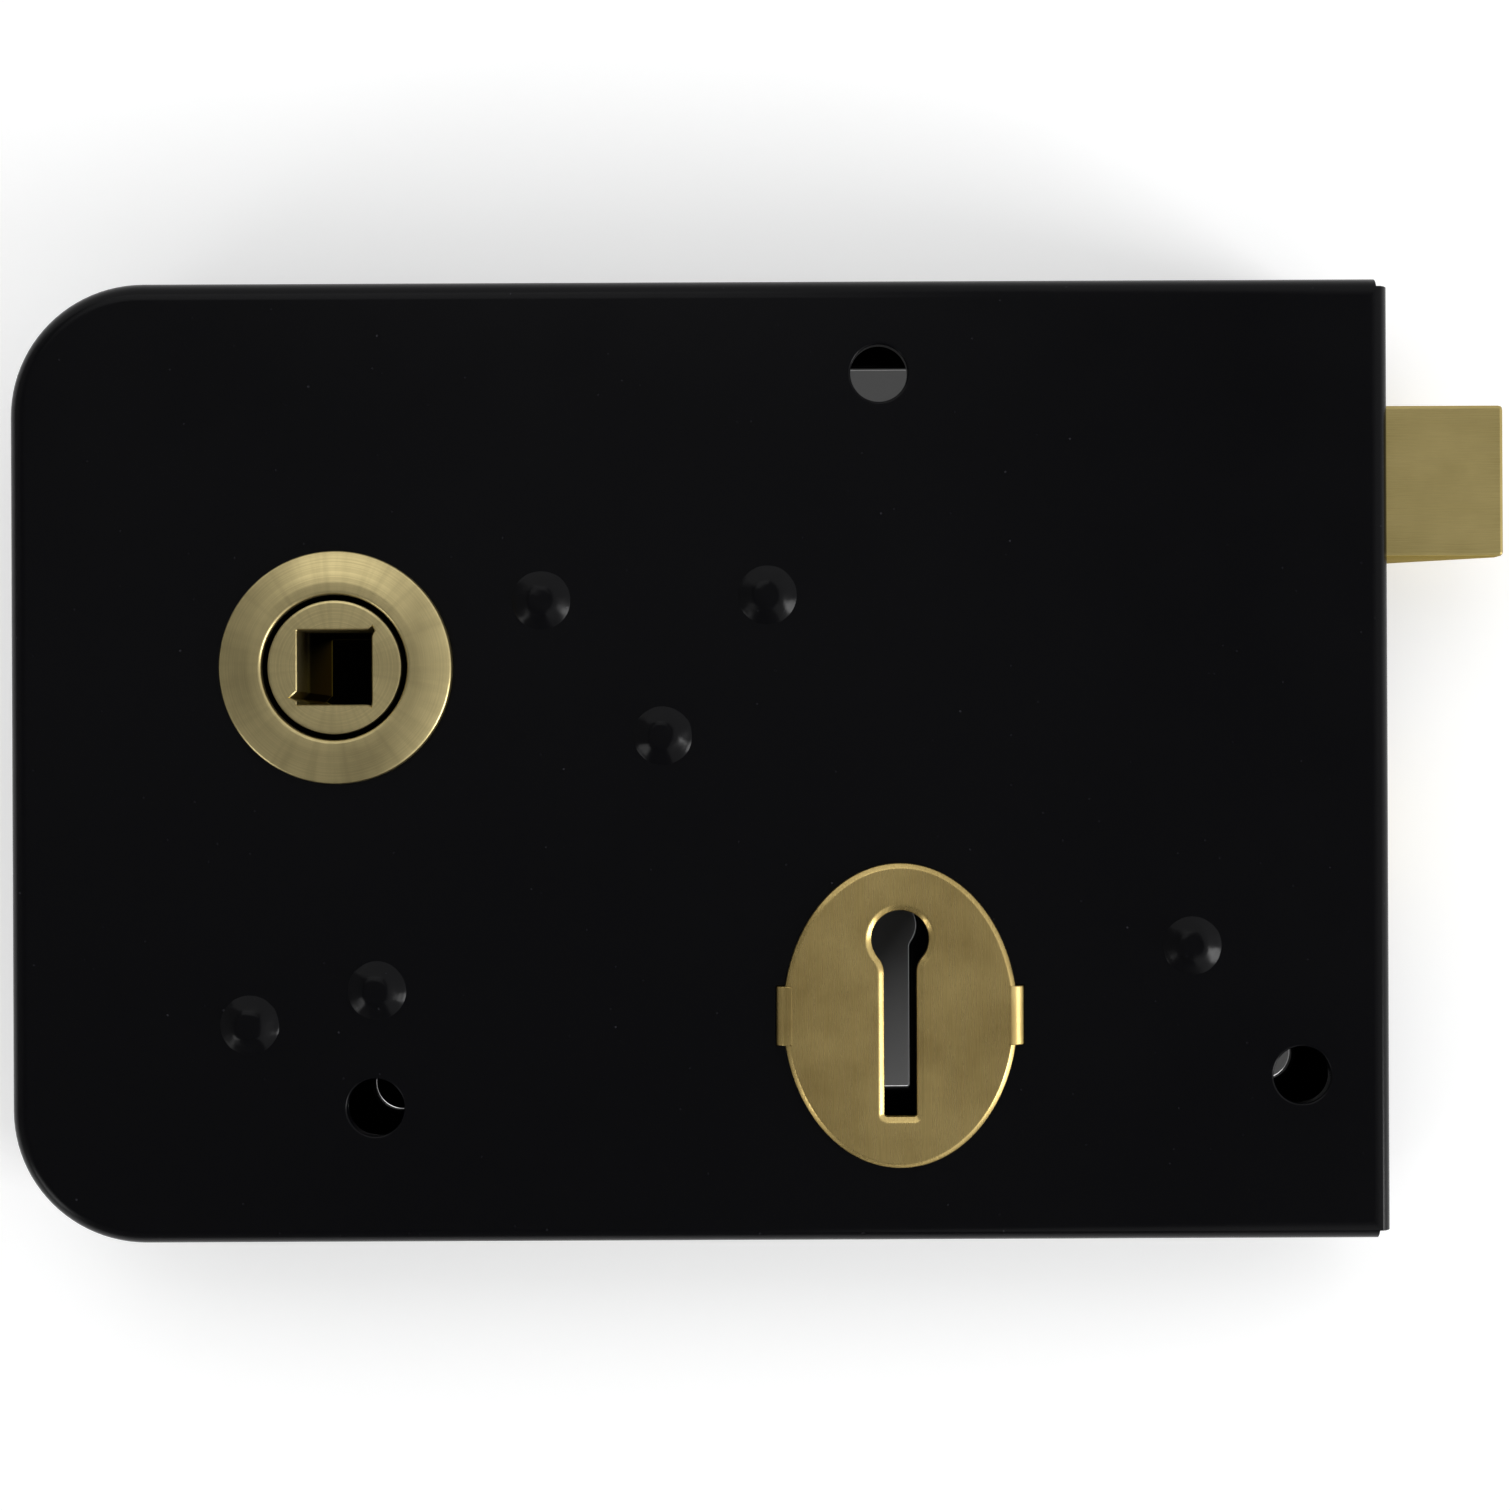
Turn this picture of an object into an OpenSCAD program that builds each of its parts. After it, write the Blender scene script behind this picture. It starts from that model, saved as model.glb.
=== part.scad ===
// Rim box lock, in millimetres.
// X runs along the face towards the bolts, Z is up, and -Y points out of the face.
// The door is the plane Y = 0, and every height h below is measured out from it towards the face.

/* [Case] */
// Width of the face
case_w = 150; // [145:0.5:160]
// Height of the face
case_h = 104.5; // [102:0.5:112]
// Depth from the door to the face
case_d = 22; // [21.5:0.1:26]
// Thickness of the sheet steel
sheet_t = 1.6; // [1.2:0.1:2]
// Radius of the two rounded corners
corner_r = 14.5; // [10:0.5:18]
// Outer radius of the folded edges
bend_r = 2; // [1.5:0.1:2.5]
// Width of the corner notches at the ends of the forend
relief_w = 1.4; // [1:0.1:1.5]
// Height of the corner notches at the ends of the forend
relief_h = 1; // [0.6:0.1:1.5]
// Gap between the cover plate and the walls
cover_gap = 0.2; // [0.1:0.05:0.4]

/* [Fixing holes] */
// Radius of the screw holes
fix_r = 3.1; // [2.2:0.1:3.4]
// Distance of the top hole behind the forend
top_fix_back = 55.4; // [50:0.1:62]
// Distance of the top hole below the top edge
top_fix_drop = 10.25; // [9:0.05:11]
// Length of the slot behind the top hole
top_slot_l = 14; // [9:0.5:18]
// Height of the slot behind the top hole
top_slot_h = 7.2; // [6.8:0.1:8]
// Distance of the right hole behind the forend
right_fix_back = 9.8; // [8:0.1:13]
// Height of the right hole above the bottom edge
right_fix_rise = 17.95; // [14:0.05:20]
// Distance of the left hole behind the forend
left_fix_back = 110.3; // [106:0.1:114]
// Height of the left hole above the bottom edge
left_fix_rise = 14.85; // [10:0.05:16]

/* [Riveted posts] */
// Distance of the first guide stud behind the forend
guide_1_back = 92.1; // [91.5:0.1:92.5]
// Height of the first guide stud above the lock's middle
guide_1_z = 17.5; // [17:0.1:18]
// Distance of the second guide stud behind the forend
guide_2_back = 79; // [78.5:0.1:79.5]
// Height of the second guide stud above the lock's middle
guide_2_z = 2.8; // [2.5:0.1:3.2]
// Distance of the spring stop's pillar behind the forend
stop_back = 67.6; // [67:0.1:68.5]
// Height of the spring stop's pillar above the lock's middle
stop_z = 18; // [17.5:0.1:18.3]
// Distance of the pillar under the dead bolt behind the forend
bolt_pillar_back = 21.7; // [20:0.1:24]
// Height of the pillar under the dead bolt from the lock's middle
bolt_pillar_z = -20.2; // [-20.5:0.1:-20]
// Distance of the pillar under the lever springs behind the forend
spring_pillar_back = 123.9; // [123:0.1:125]
// Height of the pillar under the lever springs from the lock's middle
spring_pillar_z = -28.4; // [-29:0.1:-28]
// Distance of the lever post behind the forend
lever_post_back = 110.1; // [109.5:0.1:110.5]
// Height of the lever post from the lock's middle
lever_post_z = -24.7; // [-25:0.1:-24.2]
// Radius of a riveted head at the face
head_r = 2.7; // [2.5:0.05:3.4]
// Radius of the flat top of a riveted head
head_top_r = 1.3; // [1:0.1:2]
// Height of a riveted head
head_h = 1; // [0.6:0.1:1.4]
// Radius of a post's neck in the sheet
neck_r = 1.6; // [1.3:0.1:2]
// Radius of a post's body
post_r = 2.5; // [2.2:0.1:2.8]
// Radius of a post's shoulder behind the face
shoulder_r = 4.2; // [3.6:0.1:4.6]
// Radius of a pillar's foot on the cover plate
foot_r = 3.4; // [3:0.1:3.8]

/* [Spindle and follower] */
// Distance of the spindle behind the forend
spindle_back = 114.3; // [113.8:0.1:114.6]
// Height of the spindle above the lock's middle
spindle_z = 10.3; // [10:0.1:10.6]
// Side of the square hole for the spindle
square_w = 8.1; // [7:0.1:9]
// Radius of the follower's journals
hub_r = 7.25; // [6.8:0.05:7.5]
// Radius of the follower's neck beside the latch tail
hub_neck_r = 6.5; // [6.2:0.1:6.7]
// Radius of the follower's barrel
barrel_r = 9; // [8:0.1:10]
// Radius of the bush at the face
bush_r = 12.6; // [11:0.1:14]
// Radius of the bush's flat land
bush_land_r = 9; // [8.6:0.1:10.4]
// Radius of the bush's mouth
bush_mouth_r = 7.85; // [7.7:0.05:8.4]
// Depth of the bush's mouth
bush_mouth_d = 3.2; // [0.8:0.1:3.6]
// Radius of the bush where it passes the sheet
bush_spigot_r = 9; // [8.6:0.1:9.6]
// Radius of the bush's rolled lip behind the sheet
bush_lip_r = 10.2; // [9.8:0.1:11]
// How far the bush stands out of the face
bush_proud = 2; // [1.5:0.1:2.6]
// How far the bush slopes down from its land to its outer edge
bush_fall = 0.8; // [0.4:0.1:1.1]
// How far the follower's end lies below the bush's land
hub_sunk = 0.4; // [0.2:0.1:0.8]
// Width of a follower horn
horn_w = 5; // [4:0.1:6]
// Thickness of the horns
horn_t = 3.6; // [3:0.1:4]

/* [Bolts] */
// How far the bolts' front lies behind the face
bolt_set = 4.2; // [4:0.1:5]
// Thickness of both bolts
bolt_t = 13.5; // [12.5:0.1:14]
// Travel of the latch and of the dead bolt
travel = 13; // [11:0.5:13.5]
// Height of the latch head
latch_h = 16.6; // [15:0.1:18]
// Height of the latch's middle line
latch_z = 30.5; // [29.5:0.1:31.5]
// How far the latch head stands out of the forend
latch_out = 13.5; // [13.5:0.1:16]
// Thickness of the latch head at its tip
latch_tip_t = 2.5; // [1.5:0.1:4]
// Length of the latch head inside the case
latch_in = 25; // [23:0.5:27]
// Height of the dead bolt head
dead_h = 16; // [14:0.1:18]
// Length of the dead bolt head
dead_l = 29; // [27:0.5:30]
// Thickness of the latch tail and the dead bolt tail
tail_t = 2.5; // [2:0.1:2.8]
// Radius of the bolts' rivets
rivet_r = 1.8; // [1.4:0.1:2]
// Radius of the latch's two drive pins
drive_pin_r = 2.5; // [2:0.1:3]
// Distance of a drive pin above or below the spindle
drive_pin_z = 14; // [13:0.1:14.5]

/* [Latch spring] */
// Mean radius of the spring's turns
spring_r = 4; // [3.5:0.1:4.3]
// Radius of the spring's wire
wire_r = 0.5; // [0.4:0.05:0.6]
// Number of turns
spring_turns = 11; // [8:1:12]
// Radius of the rod inside the spring
rod_r = 2; // [1.6:0.1:2.4]
// Length of the rod that stands out of the latch head
rod_l = 23; // [18:0.5:24]

/* [Key and levers] */
// Distance of the key's axis behind the forend
key_back = 53.4; // [53:0.1:54]
// Height of the key's axis from the lock's middle
key_z = -19.3; // [-19.6:0.1:-19]
// Radius of the keyhole's round end
key_r = 3.1; // [3.05:0.05:3.6]
// Width of the keyhole's slot
key_slot_w = 3.5; // [3:0.1:4.4]
// Reach of the keyhole's slot from the key's axis
key_reach = 19.2; // [17:0.1:20]
// Width of the slot in the cover's keyhole
cover_slot_w = 4.5; // [2.6:0.1:5]
// Reach of the slot in the cover's keyhole
cover_reach = 18.8; // [16:0.1:19.5]
// Width of the escutcheon
plate_w = 25.4; // [22:0.2:28]
// Height of the escutcheon
plate_h = 33; // [30:0.2:36]
// Thickness of the escutcheon
plate_t = 1.1; // [0.9:0.1:1.5]
// Height of the escutcheon's middle below the key's axis
plate_drop = 8.3; // [7:0.1:9]
// Width across the escutcheon's two tabs
tab_w = 26.8; // [26:0.2:30]
// Height of a tab
tab_h = 6.4; // [5:0.1:8]
// Thickness of a tab
tab_t = 0.9; // [0.7:0.1:1.1]
// Thickness of a lever
lever_t = 1.8; // [1.4:0.1:1.9]
// Radius that the key clears under the levers
belly_r = 13; // [11:0.1:14]
// Lift of a lever when the dead bolt is fully thrown, in degrees
lever_lift = 5.2; // [4:0.1:5.5]
// Radius of the stump on the dead bolt
stump_r = 2; // [1.6:0.1:2.1]
// Distance of the stump behind the key's axis
stump_back = 5.6; // [5:0.1:6]
// Height of the stump above the key's axis
stump_rise = 23.8; // [23.5:0.1:24.2]
// Half the thickness of a lever's spring
leaf_r = 0.3; // [0.2:0.05:0.4]

/* [Clearances] */
// Gap between sliding pieces
slide_gap = 0.3; // [0.2:0.05:0.4]
// Gap between the layers of the mechanism
layer_gap = 0.4; // [0.3:0.05:0.5]
// Radial gap of a running fit
run_gap = 0.05; // [0.03:0.01:0.09]

/* [Hidden] */
$fn = 64;
eps = 0.5;

// Heights of the layers, from the face down to the door
h_in = case_d - sheet_t;
bolt_h1 = case_d - bolt_set;
bolt_h0 = bolt_h1 - bolt_t;
latch_tail_h0 = bolt_h1 - tail_t;
horn_h1 = latch_tail_h0 - layer_gap;
horn_h0 = horn_h1 - horn_t;
dead_tail_h1 = horn_h0 - layer_gap;
dead_tail_h0 = dead_tail_h1 - tail_t;
lever_a_h1 = dead_tail_h0 - layer_gap;
lever_a_h0 = lever_a_h1 - lever_t;
lever_b_h1 = lever_a_h0 - layer_gap;
lever_b_h0 = lever_b_h1 - lever_t;
shoulder_h0 = bolt_h1 + slide_gap;

// The forend's outer and inner faces, from which every place along the lock is measured
forend_x = case_w / 2;
forend_in = forend_x - sheet_t;
guide_r = post_r + slide_gap;

// Places of the fixing holes and the posts
top_fix = [forend_x - top_fix_back, case_h / 2 - top_fix_drop];
right_fix = [forend_x - right_fix_back, right_fix_rise - case_h / 2];
left_fix = [forend_x - left_fix_back, left_fix_rise - case_h / 2];
guide_1 = [forend_x - guide_1_back, guide_1_z];
guide_2 = [forend_x - guide_2_back, guide_2_z];
stop_pillar = [forend_x - stop_back, stop_z];
bolt_pillar = [forend_x - bolt_pillar_back, bolt_pillar_z];
spring_pillar = [forend_x - spring_pillar_back, spring_pillar_z];
lever_post_at = [forend_x - lever_post_back, lever_post_z];
spindle = [forend_x - spindle_back, spindle_z];
key = [forend_x - key_back, key_z];
stump = key + [-stump_back, stump_rise];

// The cover pillars and their screws
pillars = [stop_pillar, bolt_pillar, spring_pillar];
stop_t = 1.6;
step_h = horn_h1 - stop_t;
screw_r = 1.5;
screw_head_r = 2.9;
screw_head_t = 1.5;
screw_l = 8;
screw_sunk = 0.1;
screw_slot = [0.9, 0.8];

// The latch
latch_z0 = latch_z - latch_h / 2;
latch_x0 = forend_x - latch_in;
latch_tip_x = forend_x + latch_out;
rebate_l = 16;
bevel_x = forend_x + eps;
pin_x = spindle[0] + travel / 2;
fork_wall = 2;
fork_end = drive_pin_r + fork_wall;
wall = 3;
thin_wall = 1.1;
fork_root = spindle[0] + travel + slide_gap;
tail_top = stop_pillar[1] + guide_r + wall;
tail_bottom = guide_2[1] - guide_r - wall;
tail_left = guide_1[0] - guide_r - thin_wall;
tail_right = stop_pillar[0] + travel + guide_r + wall;
stop_drop = 8.2;
stop_z0 = latch_z0 - stop_drop;
arm_inset = 2.3;
arm_top = latch_z + latch_h / 2 - arm_inset;
rivet_apart = 8;
latch_rivets_z = [latch_z - rivet_apart / 2, latch_z + rivet_apart / 2];
latch_rivet_in = 9;
latch_rivet_x = latch_x0 + latch_rivet_in;

// The follower's horns
pin_angle = atan2(drive_pin_z, travel / 2);
pin_reach = norm([drive_pin_z, travel / 2]);
horn_gap = 0.35;
horn_past_pin = 2;
horn_l = pin_reach + horn_past_pin;

// The latch spring runs between its stop and the latch head
spring_h = (bolt_h0 + latch_tail_h0) / 2;
spring_end_gap = 0.1;
stop_lip = 1.2;
stop_x = stop_pillar[0] + foot_r + stop_lip;
spring_x0 = stop_x + wire_r + spring_end_gap;
spring_x1 = latch_x0 - wire_r - spring_end_gap;
rod_seat = 6;

// The dead bolt, which rests withdrawn just inside the forend
dead_sunk = 0.1;
dead_x1 = forend_x - dead_sunk;
dead_x0 = dead_x1 - dead_l;
dead_z0 = bolt_pillar[1] + foot_r + slide_gap;
dead_z1 = dead_z0 + dead_h;
dead_slot_l = 14;
key_play = 0.4;
sweep_r = key_reach - key_play;
talon_rise = 11.3;
talon_z = key[1] + talon_rise;
talon_half = sqrt(pow(sweep_r, 2) - pow(talon_z - key[1], 2));
talon_play = 0.8;
talon_top = key[1] + sweep_r + talon_play;
talon_x0 = key[0] - talon_half - slide_gap;
talon_x1 = key[0] + talon_half - travel + slide_gap;
dead_top = guide_2[1] + guide_r + wall;
dead_left = guide_2[0] - travel - guide_r - wall;
dead_rivet_in = [4, 9];
dead_rivet_edge = 4.5;
dead_rivets = [
    [dead_x0 + dead_rivet_in[0], dead_z1 - dead_rivet_edge],
    [dead_x0 + dead_rivet_in[1], dead_z0 + dead_rivet_edge]
];

// The levers and the window that the stump takes through them
window_play = 0.7;
window_r = stump_r + window_play;
lever_boss_r = 6.5;
lever_arm_r = 5;
lever_before = 10;
lever_after = 9;
lever_rise = 10.3;
lever_over = 6;
lever_x0 = stump[0] - lever_before;
lever_x1 = stump[0] + travel + lever_after;
lever_z0 = key[1] + lever_rise;
lever_z1 = stump[1] + lever_over;
arm_rise = 8;
arm_end = [lever_x0 + wall, lever_z0 + arm_rise];
leaf_in = [-3.9, 3.7];
leaf_gap = 0.2;
leaf_root = lever_post_at + leaf_in;
leaf_tip = spring_pillar + [0, foot_r + leaf_r + leaf_gap];
spacer_r = 4.5;

black_paint = [0.09, 0.085, 0.08];
brass = [0.80, 0.66, 0.40];
zinc = [0.72, 0.73, 0.74];
spring_steel = [0.45, 0.46, 0.48];

// A flat shape in X and Z, between two heights from the door
module layer(h0, h1) {
    translate([0, -h0, 0])
        rotate([90, 0, 0])
            linear_extrude(h1 - h0)
                children();
}

// A round bar square to the face
module bar(at, r, h0, h1) {
    translate([at[0], -h0, at[1]])
        rotate([90, 0, 0])
            cylinder(r = r, h = h1 - h0);
}

// A turned piece square to the face, from its radius and height profile
module turned(at, profile) {
    translate([at[0], 0, at[1]])
        rotate([90, 0, 0])
            rotate_extrude()
                polygon(profile);
}

// A flat slot with round ends from one point to another
module track(a, b, r) {
    translate(a)
        circle(r);
    translate(b)
        circle(r);
    strip(a, b, r);
}

// A flat strip with square ends from one point to another
module strip(a, b, r) {
    d = b - a;
    translate(a)
        rotate(atan2(d[1], d[0]))
            translate([0, -r])
                square([norm(d), 2 * r]);
}

// A flat rectangle between two corners
module rect(x0, z0, x1, z1) {
    translate([x0, z0])
        square([x1 - x0, z1 - z0]);
}

// The face's outline, drawn in by a margin, with round corners away from the forend
module outline(inset) {
    x = case_w / 2 - inset;
    z = case_h / 2 - inset;
    r = corner_r - inset;
    for (side = [-1, 1])
        translate([r - x, side * (z - r)])
            circle(r);
    rect(-x, r - z, r - x, z - r);
    rect(r - x, -z, x, z);
}

module keyhole(r, slot_w, reach) {
    translate(key)
        circle(r);
    rect(key[0] - slot_w / 2, key[1] - reach, key[0] + slot_w / 2, key[1]);
}

// The pressed block before it is hollowed, with its folded edges rounded
module case_block() {
    x = case_w / 2;
    z = case_h / 2;
    edge_h = case_d - bend_r;
    hull() {
        layer(0, 1)
            outline(0);
        for (side = [-1, 1]) {
            translate([corner_r - x, -edge_h, side * (z - corner_r)])
                rotate([90, 0, 0])
                    rotate_extrude($fn = 48)
                        translate([corner_r - bend_r, 0])
                            circle(bend_r, $fn = 32);
            translate([corner_r - x, -edge_h, side * (z - bend_r)])
                rotate([0, 90, 0])
                    cylinder(r = bend_r, h = case_w - corner_r, $fn = 32);
        }
        translate([x - bend_r, -edge_h, -z])
            cylinder(r = bend_r, h = case_h, $fn = 32);
    }
}

// The way of a bolt through the forend
module forend_way(z0, z1) {
    translate([forend_in - eps, -bolt_h1 - slide_gap, z0 - slide_gap])
        cube([sheet_t + 2 * eps, bolt_t + 2 * slide_gap, z1 - z0 + 2 * slide_gap]);
}

module case_shell() {
    color(black_paint)
        difference() {
            case_block();
            layer(-eps, h_in)
                outline(sheet_t);
            for (at = [top_fix, right_fix, left_fix])
                bar(at, fix_r, h_in - eps, case_d + eps);
            for (at = concat(pillars, [guide_1, guide_2, lever_post_at]))
                bar(at, neck_r, h_in - eps, case_d + eps);
            bar(spindle, bush_spigot_r, h_in - eps, case_d + eps);
            layer(h_in - eps, case_d + eps)
                keyhole(key_r + eps, key_slot_w + 2 * eps, key_reach + eps);
            for (side = [-1, 1])
                layer(h_in - eps, case_d + eps)
                    translate([key[0] + side * (tab_w - tab_t) / 2, key[1] - plate_drop])
                        square([tab_t + 0.2, tab_h + 0.2], center = true);
            forend_way(latch_z0, latch_z0 + latch_h);
            forend_way(dead_z0, dead_z1);
            for (side = [-1, 1])
                layer(-eps, case_d + eps)
                    translate([forend_x, side * case_h / 2])
                        square(2 * [relief_w, relief_h], center = true);
        }
}

module cover_plate() {
    color(black_paint)
        difference() {
            layer(0, sheet_t)
                outline(sheet_t + cover_gap);
            bar(spindle, hub_r + run_gap, -eps, sheet_t + eps);
            for (at = [right_fix, left_fix])
                bar(at, fix_r, -eps, sheet_t + eps);
            layer(-eps, sheet_t + eps)
                translate(top_fix)
                    square([top_slot_l, top_slot_h], center = true);
            layer(-eps, sheet_t + eps)
                keyhole(key_r, cover_slot_w, cover_reach);
            for (at = pillars)
                turned(at, [
                    [0, -eps], [screw_head_r + run_gap, -eps], [screw_head_r + run_gap, screw_sunk],
                    [screw_r + run_gap, screw_head_t + screw_sunk], [screw_r + run_gap, sheet_t + eps],
                    [0, sheet_t + eps]
                ]);
        }
}

// A post's riveted head and neck, down to the back of the sheet
function riveted_top() = [
    [neck_r, h_in], [neck_r, case_d], [head_r, case_d], [head_r, case_d + 0.15],
    [head_top_r, case_d + head_h], [0, case_d + head_h]
];

module cover_pillars() {
    bore_h = sheet_t + screw_l;
    color(black_paint)
        for (at = pillars)
            turned(at, concat([
                [0, bore_h], [screw_r + run_gap, bore_h], [screw_r + run_gap, sheet_t],
                [foot_r, sheet_t], [foot_r, step_h], [post_r, step_h], [post_r, shoulder_h0],
                [shoulder_r, shoulder_h0], [shoulder_r, h_in]
            ], riveted_top()));
}

module cover_screws() {
    shank_h = sheet_t + screw_l - 0.5;
    color(zinc)
        for (at = pillars)
            difference() {
                turned(at, [
                    [0, screw_sunk], [screw_head_r, screw_sunk],
                    [screw_r, screw_sunk + screw_head_t], [screw_r, shank_h], [0, shank_h]
                ]);
                layer(0, screw_sunk + screw_slot[1])
                    translate(at)
                        square([3 * screw_head_r, screw_slot[0]], center = true);
            }
}

module guide_studs() {
    end_h = dead_tail_h0 - 0.1;
    color(black_paint)
        for (at = [guide_1, guide_2])
            turned(at, concat([
                [0, end_h], [post_r, end_h], [post_r, shoulder_h0], [shoulder_r, shoulder_h0],
                [shoulder_r, h_in]
            ], riveted_top()));
}

module lever_post() {
    shoulder_end = lever_a_h1 + layer_gap / 2;
    color(black_paint)
        turned(lever_post_at, concat([
            [0, sheet_t], [post_r, sheet_t], [post_r, shoulder_end], [shoulder_r, shoulder_end],
            [shoulder_r, h_in]
        ], riveted_top()));
}

module lever_spacers() {
    color(zinc)
        for (span = [[lever_a_h0, lever_b_h1], [lever_b_h0, sheet_t]])
            turned(lever_post_at, [
                [post_r + run_gap, span[0] - 0.1], [spacer_r, span[0] - 0.1],
                [spacer_r, span[1] + 0.1], [post_r + run_gap, span[1] + 0.1]
            ]);
}

module spindle_bush() {
    top = case_d + bush_proud;
    edge = 0.3;
    edge_r = bush_r - edge;
    lip_h = h_in - 1;
    end_h = h_in - 1.5;
    steps = 6;
    swell = 1.3;
    slope = [
        for (i = [0:steps])
            let(t = i / steps)
            [edge_r - (edge_r - bush_land_r) * t, top - bush_fall * pow(1 - t, swell)]
    ];
    color(brass)
        turned(spindle, concat(
            [
                [hub_r + run_gap, end_h], [bush_spigot_r, end_h], [bush_lip_r, lip_h],
                [bush_lip_r, h_in], [bush_spigot_r, h_in], [bush_spigot_r, case_d], [bush_r, case_d],
                [bush_r, top - bush_fall - edge]
            ],
            slope,
            [
                [bush_mouth_r, top], [bush_mouth_r, top - bush_mouth_d],
                [hub_r + run_gap, top - bush_mouth_d]
            ]
        ));
}

function oval(w, h, n = 72) = [for (i = [0:n - 1]) [w * cos(360 * i / n), h * sin(360 * i / n)] / 2];

module key_escutcheon() {
    middle = [key[0], key[1] - plate_drop];
    edge = plate_t * 0.45;
    clench_l = 3;
    clench_h = h_in - 0.1;
    color(brass) {
        difference() {
            union() {
                layer(case_d, case_d + plate_t - edge)
                    translate(middle)
                        polygon(oval(plate_w, plate_h));
                layer(case_d + plate_t - edge, case_d + plate_t)
                    translate(middle)
                        polygon(oval(plate_w - edge, plate_h - edge));
                for (side = [-1, 1]) {
                    translate([middle[0] + side * (tab_w - tab_t) / 2, -case_d, middle[1]])
                        cube([tab_t, 2 * plate_t, tab_h], center = true);
                    translate([middle[0] + side * (tab_w - tab_t) / 2, -clench_h, middle[1]])
                        translate([-tab_t / 2, -sheet_t, -tab_h / 2])
                            cube([tab_t, sheet_t + tab_t, tab_h]);
                    translate([middle[0] + side * (tab_w - clench_l) / 2, -clench_h, middle[1]])
                        translate([-clench_l / 2, 0, -tab_h / 2])
                            cube([clench_l, tab_t, tab_h]);
                }
            }
            layer(case_d - eps, case_d + plate_t + eps)
                keyhole(key_r, key_slot_w, key_reach);
        }
    }
}

module spring_stop() {
    foot_x = stop_pillar[0] - foot_r - 1;
    top_z = latch_z + spring_r + wire_r + 1;
    color(zinc)
        difference() {
            union() {
                layer(step_h, horn_h1)
                    rect(foot_x, stop_pillar[1] - foot_r - 1, stop_x, top_z);
                translate([stop_x - stop_t, -horn_h1, latch_z - spring_r - wire_r - 1])
                    cube([stop_t, horn_h1 - bolt_h0 - eps, 2 * (spring_r + wire_r + 1)]);
            }
            bar(stop_pillar, post_r + run_gap, step_h - eps, horn_h1 + eps);
        }
}

module horn() {
    rotate(pin_angle)
        translate([0, -drive_pin_r - horn_gap - horn_w])
            square([horn_l, horn_w]);
}

module follower() {
    top = case_d + bush_proud - hub_sunk;
    neck_h1 = h_in - 1.8;
    barrel_h0 = sheet_t + slide_gap;
    color(brass)
        difference() {
            union() {
                turned(spindle, [
                    [0, screw_sunk], [hub_r, screw_sunk], [hub_r, barrel_h0], [barrel_r, barrel_h0],
                    [barrel_r, horn_h1], [hub_neck_r, horn_h1], [hub_neck_r, neck_h1],
                    [hub_r, neck_h1], [hub_r, top], [0, top]
                ]);
                layer(horn_h0, horn_h1)
                    translate(spindle) {
                        horn();
                        mirror([0, 1])
                            horn();
                    }
            }
            layer(-eps, case_d + bush_proud + eps)
                translate(spindle)
                    square(square_w, center = true);
        }
}

module latch_head() {
    color(brass)
        difference() {
            translate([0, 0, latch_z0])
                linear_extrude(latch_h)
                    polygon([
                        [latch_x0, -bolt_h1 + tail_t], [latch_x0 + rebate_l, -bolt_h1 + tail_t],
                        [latch_x0 + rebate_l, -bolt_h1], [latch_tip_x, -bolt_h1],
                        [latch_tip_x, -bolt_h1 + latch_tip_t], [bevel_x, -bolt_h0], [latch_x0, -bolt_h0]
                    ]);
            for (z = latch_rivets_z)
                bar([latch_rivet_x, z], rivet_r + run_gap, bolt_h0 - eps, bolt_h1 + eps);
            translate([latch_x0 - eps, -spring_h, latch_z])
                rotate([0, 90, 0])
                    cylinder(r = rod_r + run_gap, h = rod_seat + eps);
        }
}

module latch_tail() {
    stop_end = forend_in - slide_gap;
    color(zinc)
        layer(latch_tail_h0, bolt_h1)
            difference() {
                union() {
                    rect(tail_left, tail_bottom, tail_right, tail_top);
                    for (side = [-1, 1])
                        rect(
                            pin_x - fork_end,
                            min(spindle[1], spindle[1] + side * (drive_pin_z + fork_end)),
                            tail_left,
                            max(spindle[1], spindle[1] + side * (drive_pin_z + fork_end))
                        );
                    rect(tail_right, stop_z0, latch_x0 + rebate_l - 0.2, arm_top);
                    rect(tail_right, stop_z0, stop_end, latch_z0 - slide_gap - 0.2);
                }
                track(spindle, [fork_root, spindle[1]], hub_neck_r + slide_gap);
                for (at = [guide_1, stop_pillar, guide_2])
                    track(at, at + [travel, 0], guide_r);
                for (side = [-1, 1])
                    translate([pin_x, spindle[1] + side * drive_pin_z])
                        circle(drive_pin_r + run_gap);
                for (z = latch_rivets_z)
                    translate([latch_rivet_x, z])
                        circle(rivet_r + run_gap);
            }
}

module latch_drive_pins() {
    color(zinc)
        for (side = [-1, 1])
            bar([pin_x, spindle[1] + side * drive_pin_z], drive_pin_r, horn_h0, bolt_h1);
}

module latch_rivets() {
    color(zinc)
        for (z = latch_rivets_z)
            bar([latch_rivet_x, z], rivet_r, bolt_h0, bolt_h1);
}

module latch_spring_rod() {
    color(zinc)
        translate([latch_x0 - rod_l, -spring_h, latch_z])
            rotate([0, 90, 0])
                cylinder(r = rod_r, h = rod_l + rod_seat);
}

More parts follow.
